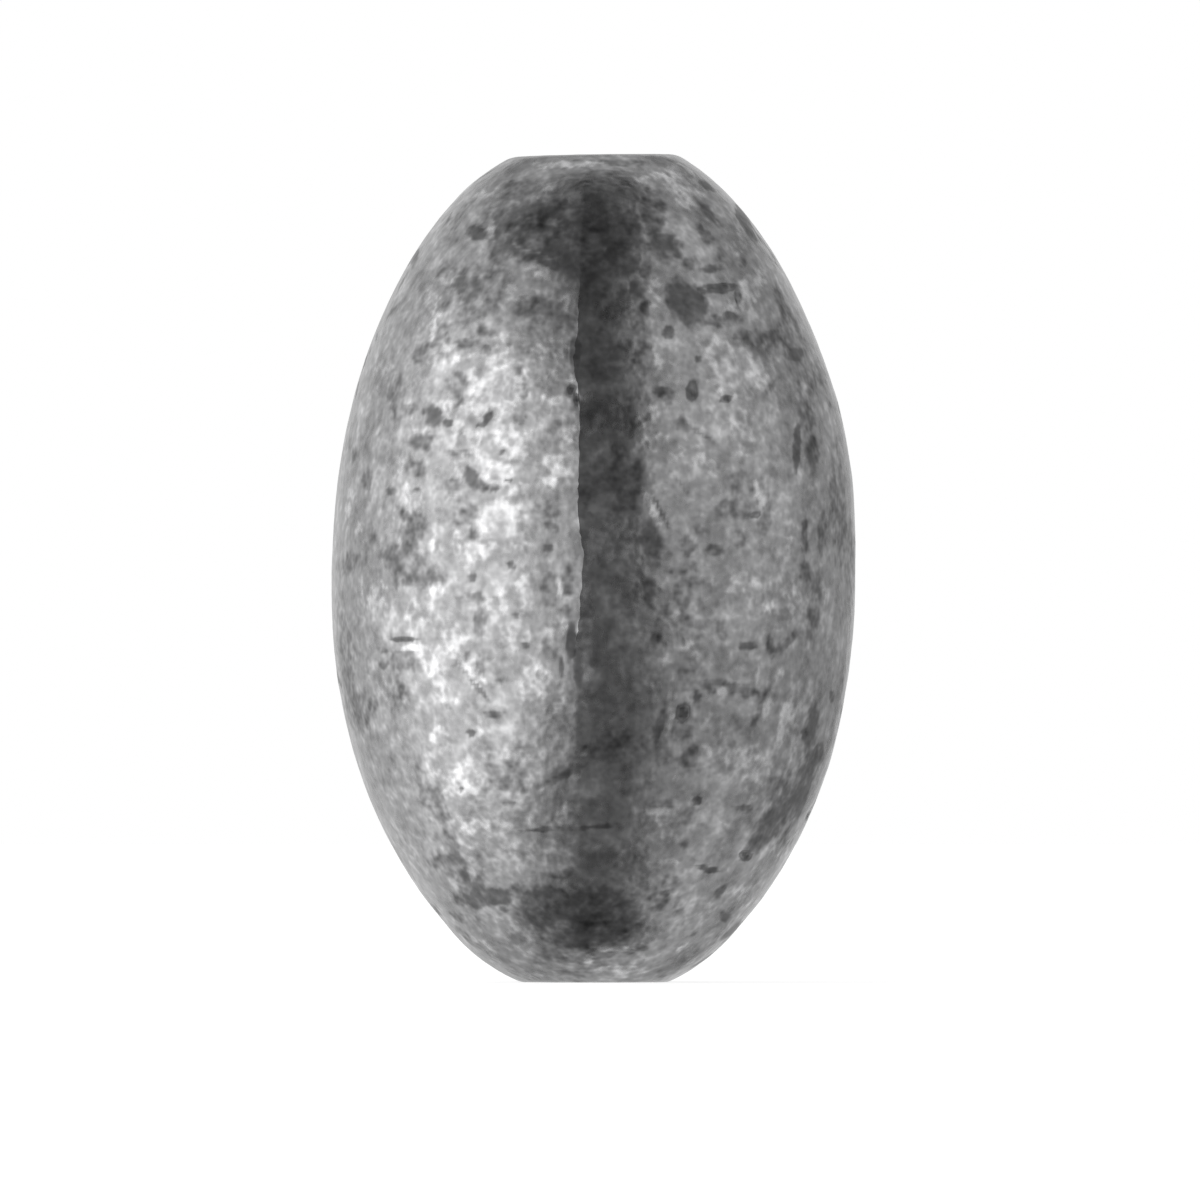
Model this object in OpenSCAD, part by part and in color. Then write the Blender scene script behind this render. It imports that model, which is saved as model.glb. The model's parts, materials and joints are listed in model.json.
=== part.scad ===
// Egg-shaped fishing sinker: a lead casting with a brass liner flared into its bore.
// It stands on its bottom end, with its bore upright along Z. All lengths are in millimetres.

/* [Lead body] */
// Diameter of the casting at its widest ring, measured square to the parting plane
body_d = 14.5; // [12:0.1:24]
// Height of the widest ring above the bottom end
lower_h = 11.25; // [9:0.05:20]
// Height of the top end above the widest ring
upper_h = 11.65; // [9:0.05:20]
// Diameter of the flat that ends the body at the bottom
bottom_flat_d = 3.9; // [3.8:0.1:5]
// Diameter of the flat that ends the body at the top
top_flat_d = 4.6; // [3.8:0.1:6]

/* [Parting line and gate] */
// Turn of the parting line from the front of the body towards its left, in degrees
parting_turn = 3.6; // [-20:0.1:20]
// How far the hollow in each mould half falls short of a full half round, which brings
// the two halves of the casting together at a blunt edge
half_shortfall = 0.12; // [0.02:0.01:0.3]
// Width of the ridge of lead that squeezed out along the parting line
ridge_w = 0.3; // [0.1:0.05:0.6]
// Height of that ridge above the body
ridge_h = 0.07; // [0.02:0.01:0.15]
// Depth of the flat where the gate was nipped off, at the back of the widest ring
gate_depth = 0.12; // [0.05:0.01:0.3]

/* [Bore liner] */
// Bore of the liner, which the line runs through
liner_bore_d = 2.0; // [1.6:0.05:2.2]
// Wall of the liner's tube
liner_wall = 0.25; // [0.15:0.01:0.35]
// How far each flared end of the liner spreads beyond its tube
flare_w = 0.3; // [0.15:0.01:0.35]
// Depth of the liner's lips below the body's flat ends
lip_recess = 0.1; // [0.05:0.01:0.2]
// Gap all round between the liner and the cast bore
liner_gap = 0.02; // [0.01:0.01:0.05]

/* [Hidden] */

// Facets of a full turn where a round face is drawn with flat ones
$fn = 96;
// Steps of the oval outline from end to end
oval_steps = 48;
// How far a cut runs past the faces that it opens
overrun = 1;

body_r = body_d / 2;
body_l = lower_h + upper_h;
bottom_flat_r = bottom_flat_d / 2;
top_flat_r = top_flat_d / 2;

// The outline is two half ovals that meet at the widest ring. Each is cut off by its flat
// end, at this angle of the oval, so the oval's own half height follows from the flat.
bottom_angle = acos(bottom_flat_r / body_r);
top_angle = acos(top_flat_r / body_r);
lower_oval_h = lower_h / sin(bottom_angle);
upper_oval_h = upper_h / sin(top_angle);

// Half the body's width along the parting plane, at the widest ring
edge_r = parting_reach(body_r);

liner_in_r = liner_bore_d / 2;
liner_out_r = liner_in_r + liner_wall;
cast_bore_r = liner_out_r + liner_gap;
liner_bottom_z = lip_recess;
liner_top_z = body_l - lip_recess;

lead_grey = [0.56, 0.56, 0.57];
brass_yellow = [0.80, 0.66, 0.40];

// The oval outline of the body's right side, from the bottom end to the top end
oval_side = [
    for (i = [0 : oval_steps])
        let (angle = -bottom_angle + i * (bottom_angle + top_angle) / oval_steps)
            [body_r * cos(angle),
             lower_h + (angle < 0 ? lower_oval_h : upper_oval_h) * sin(angle)]
];

// Where a ring of the body with this radius ends on the parting plane. Each half is
// turned about a line that lies behind the plane by the shortfall.
function parting_reach(radius) =
    sqrt(pow(radius + half_shortfall, 2) - pow(half_shortfall, 2));

// One mould half's share of the casting, on the +Y side of the parting plane
module casting_half() {
    turned_side = [for (p = oval_side) [p.x + half_shortfall, p.y]];
    intersection() {
        translate([0, -half_shortfall, 0])
            rotate_extrude()
                polygon(concat([[0, 0]], turned_side, [[0, body_l]]));
        translate([-body_d, 0, -overrun])
            cube([2 * body_d, body_d, body_l + 2 * overrun]);
    }
}

// Thin plate in the parting plane, whose rim stands out from the body as the ridge
module parting_ridge() {
    right_rim = [for (p = oval_side) [parting_reach(p.x) + ridge_h, p.y]];
    left_rim = [for (i = [oval_steps : -1 : 0]) [-right_rim[i].x, right_rim[i].y]];
    rotate([90, 0, 0])
        linear_extrude(ridge_w, center = true)
            polygon(concat(right_rim, left_rim));
}

// Block that planes off the gate's stub, at the +X end of the parting plane
module gate_cut() {
    translate([edge_r - gate_depth, -body_r, 0])
        cube([gate_depth + ridge_h + overrun, body_d, body_l]);
}

// What is left open for the liner: its bore, and a countersink at each end that
// follows the flared lip and runs out through the flat end
module bore_cut() {
    seat_h = lip_recess + flare_w;
    mouth_r = cast_bore_r + seat_h;
    rotate_extrude()
        polygon([
            [0, -overrun],
            [mouth_r + overrun, -overrun],
            [cast_bore_r, seat_h],
            [cast_bore_r, body_l - seat_h],
            [mouth_r + overrun, body_l + overrun],
            [0, body_l + overrun]
        ]);
}

module lead_body() {
    color(lead_grey)
        difference() {
            rotate([0, 0, 90 - parting_turn])
                difference() {
                    union() {
                        casting_half();
                        mirror([0, 1, 0])
                            casting_half();
                        parting_ridge();
                    }
                    gate_cut();
                }
            bore_cut();
        }
}

module bore_liner() {
    color(brass_yellow)
        rotate_extrude()
            polygon([
                [liner_in_r + flare_w, liner_bottom_z],
                [liner_out_r + flare_w, liner_bottom_z],
                [liner_out_r, liner_bottom_z + flare_w],
                [liner_out_r, liner_top_z - flare_w],
                [liner_out_r + flare_w, liner_top_z],
                [liner_in_r + flare_w, liner_top_z],
                [liner_in_r, liner_top_z - flare_w],
                [liner_in_r, liner_bottom_z + flare_w]
            ]);
}

lead_body();
bore_liner();
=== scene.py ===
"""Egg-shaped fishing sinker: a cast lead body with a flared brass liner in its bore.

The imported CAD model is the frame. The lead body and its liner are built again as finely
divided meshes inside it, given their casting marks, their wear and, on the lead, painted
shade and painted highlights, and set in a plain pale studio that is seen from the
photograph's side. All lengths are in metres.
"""

from __future__ import annotations

import json
import logging
import math
import random
from dataclasses import dataclass, field
from enum import Enum
from typing import Any, Sequence, Union

import bpy
import numpy as np
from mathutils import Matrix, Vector


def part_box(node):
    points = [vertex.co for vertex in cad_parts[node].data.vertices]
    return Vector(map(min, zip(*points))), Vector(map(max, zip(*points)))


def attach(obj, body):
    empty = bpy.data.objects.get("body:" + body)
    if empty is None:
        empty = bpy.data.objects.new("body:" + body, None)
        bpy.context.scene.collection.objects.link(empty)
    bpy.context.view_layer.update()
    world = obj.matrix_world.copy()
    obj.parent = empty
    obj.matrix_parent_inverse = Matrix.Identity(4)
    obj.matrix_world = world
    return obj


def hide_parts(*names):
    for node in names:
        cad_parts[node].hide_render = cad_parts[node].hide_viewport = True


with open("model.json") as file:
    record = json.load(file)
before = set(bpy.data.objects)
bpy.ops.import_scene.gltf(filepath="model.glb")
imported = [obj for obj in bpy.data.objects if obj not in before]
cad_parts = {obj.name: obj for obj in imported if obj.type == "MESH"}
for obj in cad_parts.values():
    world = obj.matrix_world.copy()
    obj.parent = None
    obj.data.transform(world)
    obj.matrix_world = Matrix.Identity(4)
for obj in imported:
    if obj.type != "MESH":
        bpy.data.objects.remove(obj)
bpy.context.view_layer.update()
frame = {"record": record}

LOG = logging.getLogger("sinker")

MM = 0.001
BODY = "root"
WHITE = (1.0, 1.0, 1.0, 1.0)

Number = Union[int, float]


class Term:
    """A socket of a node tree that can be reckoned with like a number."""

    def __init__(self, tree: "Tree", socket: bpy.types.NodeSocket) -> None:
        """Keep the socket and the tree that new nodes go into.

        Args:
            tree: The tree that holds the socket.
            socket: An output socket.
        """
        self.tree = tree
        self.socket = socket

    def __add__(self, other: "Value") -> "Term":
        """Sum of this and another value."""
        return self.tree.math("ADD", self, other)

    def __radd__(self, other: Number) -> "Term":
        """Sum of a number and this."""
        return self.tree.math("ADD", other, self)

    def __sub__(self, other: "Value") -> "Term":
        """This less another value."""
        return self.tree.math("SUBTRACT", self, other)

    def __rsub__(self, other: Number) -> "Term":
        """A number less this."""
        return self.tree.math("SUBTRACT", other, self)

    def __mul__(self, other: "Value") -> "Term":
        """Product of this and another value."""
        return self.tree.math("MULTIPLY", self, other)

    def __rmul__(self, other: Number) -> "Term":
        """Product of a number and this."""
        return self.tree.math("MULTIPLY", other, self)

    def __truediv__(self, other: "Value") -> "Term":
        """This divided by another value."""
        return self.tree.math("DIVIDE", self, other)

    def __neg__(self) -> "Term":
        """This with its sign changed."""
        return self.tree.math("MULTIPLY", self, -1.0)


Value = Union[Term, Number]


class Tree:
    """A node tree, with short ways to add its nodes and their links."""

    def __init__(self, nodes: bpy.types.NodeTree) -> None:
        """Wrap a node tree.

        Args:
            nodes: The tree to build in, which is emptied first.
        """
        self.nodes = nodes
        nodes.nodes.clear()

    def node(self, kind: str, settings: dict[str, Any] | None = None,
             inputs: dict[Union[str, int], Any] | None = None) -> bpy.types.Node:
        """Add a node, set its settings, and set or link its inputs.

        Args:
            kind: The node's type name.
            settings: Values of the node's own properties.
            inputs: Values or terms by the input's name or number.

        Returns:
            The new node.
        """
        made = self.nodes.nodes.new(kind)
        for name, value in (settings or {}).items():
            setattr(made, name, value)
        for key, value in (inputs or {}).items():
            if isinstance(value, Term):
                self.nodes.links.new(value.socket, made.inputs[key])
            else:
                made.inputs[key].default_value = value
        return made

    def term(self, made: bpy.types.Node, output: Union[str, int] = 0) -> Term:
        """The named or numbered output of a node, as a term."""
        return Term(self, made.outputs[output])

    def math(self, operation: str, *values: Value, clamp: bool = False) -> Term:
        """A reckoning on one, two or three values.

        Args:
            operation: The Math node's operation.
            values: What it works on, in order.
            clamp: Whether the result is kept from 0 to 1.

        Returns:
            The result.
        """
        settings = {"operation": operation, "use_clamp": clamp}
        return self.term(self.node("ShaderNodeMath", settings, dict(enumerate(values))))

    def clamp01(self, value: Value) -> Term:
        """The value, kept from 0 to 1."""
        return self.math("ADD", value, 0.0, clamp=True)

    def smooth(self, value: Value, start: Value, end: Value) -> Term:
        """A smooth step from 0 at start to 1 at end.

        Args:
            value: What is compared.
            start: Where the step begins.
            end: Where the step ends.

        Returns:
            The step, from 0 to 1.
        """
        made = self.node(
            "ShaderNodeMapRange", {"interpolation_type": "SMOOTHSTEP"},
            {0: value, 1: start, 2: end, 3: 0.0, 4: 1.0})
        return self.term(made)

    def vector(self, operation: str, *values: Any) -> Term:
        """A vector reckoning, whose result is a vector.

        Args:
            operation: The Vector Math node's operation.
            values: Vectors or, for the scale, the vector and then its factor.

        Returns:
            The resulting vector.
        """
        places = ["Scale" if operation == "SCALE" and i == 1 else i for i in range(len(values))]
        inputs = dict(zip(places, values))
        return self.term(self.node("ShaderNodeVectorMath", {"operation": operation}, inputs))

    def parts(self, vector: Term) -> tuple[Term, Term, Term]:
        """The three parts of a vector."""
        made = self.node("ShaderNodeSeparateXYZ", inputs={0: vector})
        return self.term(made, 0), self.term(made, 1), self.term(made, 2)

    def joined(self, x: Value, y: Value, z: Value) -> Term:
        """A vector from its three parts."""
        return self.term(self.node("ShaderNodeCombineXYZ", inputs={0: x, 1: y, 2: z}))

    def attribute(self, name: str) -> Term:
        """A number that the mesh keeps under a name, in a material."""
        return self.term(self.node("ShaderNodeAttribute", {"attribute_name": name}), "Fac")

    def strayed(self, place: Term, size: float, reach: float) -> Term:
        """A place that is moved about at random, so that a pattern read there isn't regular.

        Args:
            place: The place, in metres.
            size: Distance over which the moves change, in metres.
            reach: About twice the longest move, in metres.

        Returns:
            The moved place.
        """
        made = self.node("ShaderNodeTexNoise", inputs={
            "Vector": self.vector("SCALE", place, 1.0 / size), "Scale": 1.0, "Detail": 1.0})
        aside = self.vector("SUBTRACT", self.term(made, 1), (0.5, 0.5, 0.5))
        return self.vector("ADD", place, self.vector("SCALE", aside, reach))

    def grain(self, place: Term, size: float, detail: float = 2.0, rough: float = 0.5,
              bend: float = 0.0, shift: float = 0.0) -> Term:
        """Cloudy noise with features of about one size, from 0 to 1.

        Args:
            place: Where it is read, in metres.
            size: Size of its features, in metres.
            detail: How many finer layers it has.
            rough: How strong the finer layers are.
            bend: How much it is drawn out into curls.
            shift: Distance, in feature sizes, that picks another part of the pattern.

        Returns:
            The noise.
        """
        spot = self.vector("SCALE", place, 1.0 / size)
        if shift:
            spot = self.vector("ADD", spot, (shift, shift, shift))
        made = self.node("ShaderNodeTexNoise", inputs={
            "Vector": spot, "Scale": 1.0, "Detail": detail, "Roughness": rough, "Distortion": bend})
        return self.term(made, 0)

    def curve(self, value: Value, points: Sequence[tuple[float, float]]) -> Term:
        """A line through given points.

        Args:
            value: Where the line is read, from 0 to 1.
            points: The line's points, each from 0 to 1 both ways, in order.

        Returns:
            The line's height at the value.
        """
        made = self.node("ShaderNodeFloatCurve", inputs={"Value": value})
        line = made.mapping.curves[0].points
        while len(line) < len(points):
            line.new(0.5, 0.5)
        for knot, place in zip(line, points):
            knot.location = place
            knot.handle_type = "VECTOR"
        made.mapping.update()
        return self.term(made)

    def cells(self, place: Term, size: float) -> bpy.types.Node:
        """A Voronoi pattern with cells of about one size.

        Args:
            place: Where it is read, in metres.
            size: Size of its cells, in metres.

        Returns:
            The node, whose outputs include Distance and Color.
        """
        spot = self.vector("SCALE", place, 1.0 / size)
        return self.node("ShaderNodeTexVoronoi", {"feature": "F1"}, {
            "Vector": spot, "Scale": 1.0, "Randomness": 1.0})


class Kind(Enum):
    """What a mark leaves on the lead, painted shade and painted highlights among them."""

    STAIN_AND_SHADE = "stain"
    RUB_AND_HIGHLIGHT = "rub"
    PIT = "pit"


@dataclass(frozen=True)
class Mark:
    """One mark on the lead, placed and measured in the photograph's pixels.

    A mark that isn't on the front is placed as if the sinker were turned about its bore
    until that side faced the camera.
    """

    name: str
    kind: Kind
    column: float
    row: float
    wide: float
    high: float
    tilt: float = 0.0
    strength: float = 1.0
    turn: float = 0.0


def stain(name: str, column: float, row: float, wide: float, high: float, tilt: float = 0.0,
          strength: float = 1.0) -> Mark:
    """A dark patch: oxide, and painted shade in marks named for shade, reflection or shadow."""
    return Mark(name, Kind.STAIN_AND_SHADE, column, row, wide, high, tilt, strength)


def rub(name: str, column: float, row: float, wide: float, high: float, tilt: float = 0.0,
        strength: float = 1.0) -> Mark:
    """A bright patch: bare metal, and painted highlights in marks named gleam, glow or light."""
    return Mark(name, Kind.RUB_AND_HIGHLIGHT, column, row, wide, high, tilt, strength)


def pit(name: str, column: float, row: float, wide: float, high: float, tilt: float = 0.0,
        strength: float = 1.0) -> Mark:
    """A hollow that a bubble or a knock left, dark at its bottom."""
    return Mark(name, Kind.PIT, column, row, wide, high, tilt, strength)


TOP_MARKS = (
    stain("cap_left", 533, 230, 92, 56, 0, 1.00),
    stain("cap_fringe", 556, 258, 66, 30, 25, 0.88),
    stain("cap_core", 588, 248, 56, 84, 0, 0.95),
    stain("cap_right", 624, 236, 48, 52, 0, 0.60),
    stain("crown_shade", 592, 200, 110, 50, 0, 0.25),
    stain("crown_right", 654, 214, 28, 52, 0, 0.55),
    stain("crown_corner", 664, 247, 36, 34, 0, 0.70),
    stain("crown_left", 516, 191, 34, 28, 0, 0.42),
    stain("crown_low_left", 500, 250, 26, 44, 0, 0.58),
    stain("cap_low_right", 622, 264, 36, 34, 0, 0.70),
    stain("cap_low_edge", 646, 272, 12, 40, 0, 0.50),
    stain("top_edge_shade", 620, 163, 50, 9, 0, 0.50),
    stain("cap_tail", 637, 287, 16, 26, 0, 0.70),
    stain("ring_stain", 477, 234, 22, 14, 20, 0.75),
    stain("left_shoulder_a", 462, 284, 24, 14, 0, 0.80),
    stain("left_shoulder_b", 495, 268, 14, 22, 0, 0.55),
    stain("left_shoulder_c", 466, 307, 24, 12, 0, 0.50),
    stain("left_shoulder_d", 470, 290, 22, 34, 0, 0.80),
    stain("shoulder_shade", 468, 290, 96, 66, 0, 0.36),
    stain("under_cap", 548, 313, 70, 34, 8, 0.55),
    stain("under_cap_left", 486, 330, 22, 16, 0, 0.50),
    stain("shoulder_low", 443, 342, 18, 46, 0, 0.42),
    # Painted dark reflection: the next two marks darken the band in which the lead mirrors the dim
    # room in front of it
    stain("band_painted_reflection_a", 605, 360, 40, 74, 0, 0.55),
    stain("band_side_painted_reflection", 642, 334, 24, 90, 0, 0.40),
    stain("oval_patch", 688, 304, 52, 36, 48, 0.88),
    stain("patch_bar", 721, 288, 40, 9, 0, 1.00),
    stain("patch_hook", 738, 298, 9, 20, 0, 0.90),
    stain("patch_foot", 731, 316, 16, 10, 30, 0.80),
    stain("patch_above", 711, 269, 26, 9, -5, 0.60),
    stain("patch_corner", 690, 262, 18, 20, 0, 0.42),
    stain("patch_below", 669, 333, 14, 15, 0, 0.75),
    stain("patch_under", 716, 320, 50, 14, 8, 0.60),
    stain("right_streak", 708, 212, 44, 10, 50, 0.60),
    stain("right_streak_low", 705, 234, 26, 12, 60, 0.60),
    stain("rim_streak", 745, 222, 38, 9, 63, 1.10),
    stain("rim_streak_top", 706, 186, 22, 8, 32, 0.70),
    stain("rim_speck_a", 742, 262, 9, 16, 0, 0.50),
    stain("rim_speck_b", 746, 306, 9, 13, 0, 0.60),
    stain("rim_speck_c", 722, 252, 14, 22, 0, 0.35),
    rub("top_edge_gleam", 566, 164, 62, 7, -2, 0.75),
    rub("crown_gleam", 546, 190, 28, 9, -38, 0.45),
    rub("crown_gleam_left", 489, 192, 24, 22, 0, 0.42),
    rub("crown_wisp_a", 552, 222, 26, 7, -10, 0.42),
    rub("crown_gleam_low", 594, 212, 20, 24, 0, 0.35),
    rub("cap_rim_wisp", 533, 252, 52, 6, 22, 0.50),
    rub("cap_rim_gleam", 541, 272, 28, 12, 20, 0.88),
    rub("left_flash", 491, 228, 8, 24, 0, 0.60),
    rub("shoulder_gleam_a", 512, 287, 13, 8, 0, 0.70),
    rub("shoulder_gleam_b", 523, 298, 12, 9, 0, 0.70),
    rub("shoulder_gleam_c", 432, 297, 18, 34, 0, 0.92),
    rub("shoulder_gleam_d", 447, 282, 16, 7, 0, 0.50),
    rub("shoulder_gleam_e", 433, 328, 8, 30, 0, 0.50),
    rub("shoulder_line_gleam", 568, 294, 20, 28, 0, 0.42),
    rub("right_crown_gleam", 652, 178, 30, 12, -15, 0.50),
    rub("right_crown_vein", 676, 196, 40, 7, 45, 0.60),
    rub("right_crown_wash", 684, 182, 46, 26, 45, 0.80),
    rub("patch_gleam", 735, 304, 22, 11, 0, 0.75),
    rub("patch_beside", 752, 286, 22, 34, 20, 0.90),
    rub("rim_wash", 740, 242, 20, 30, 20, 0.58),
    rub("patch_border", 655, 292, 14, 44, 0, 0.50),
    rub("patch_ground", 722, 350, 50, 22, 8, 0.80),
)

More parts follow.
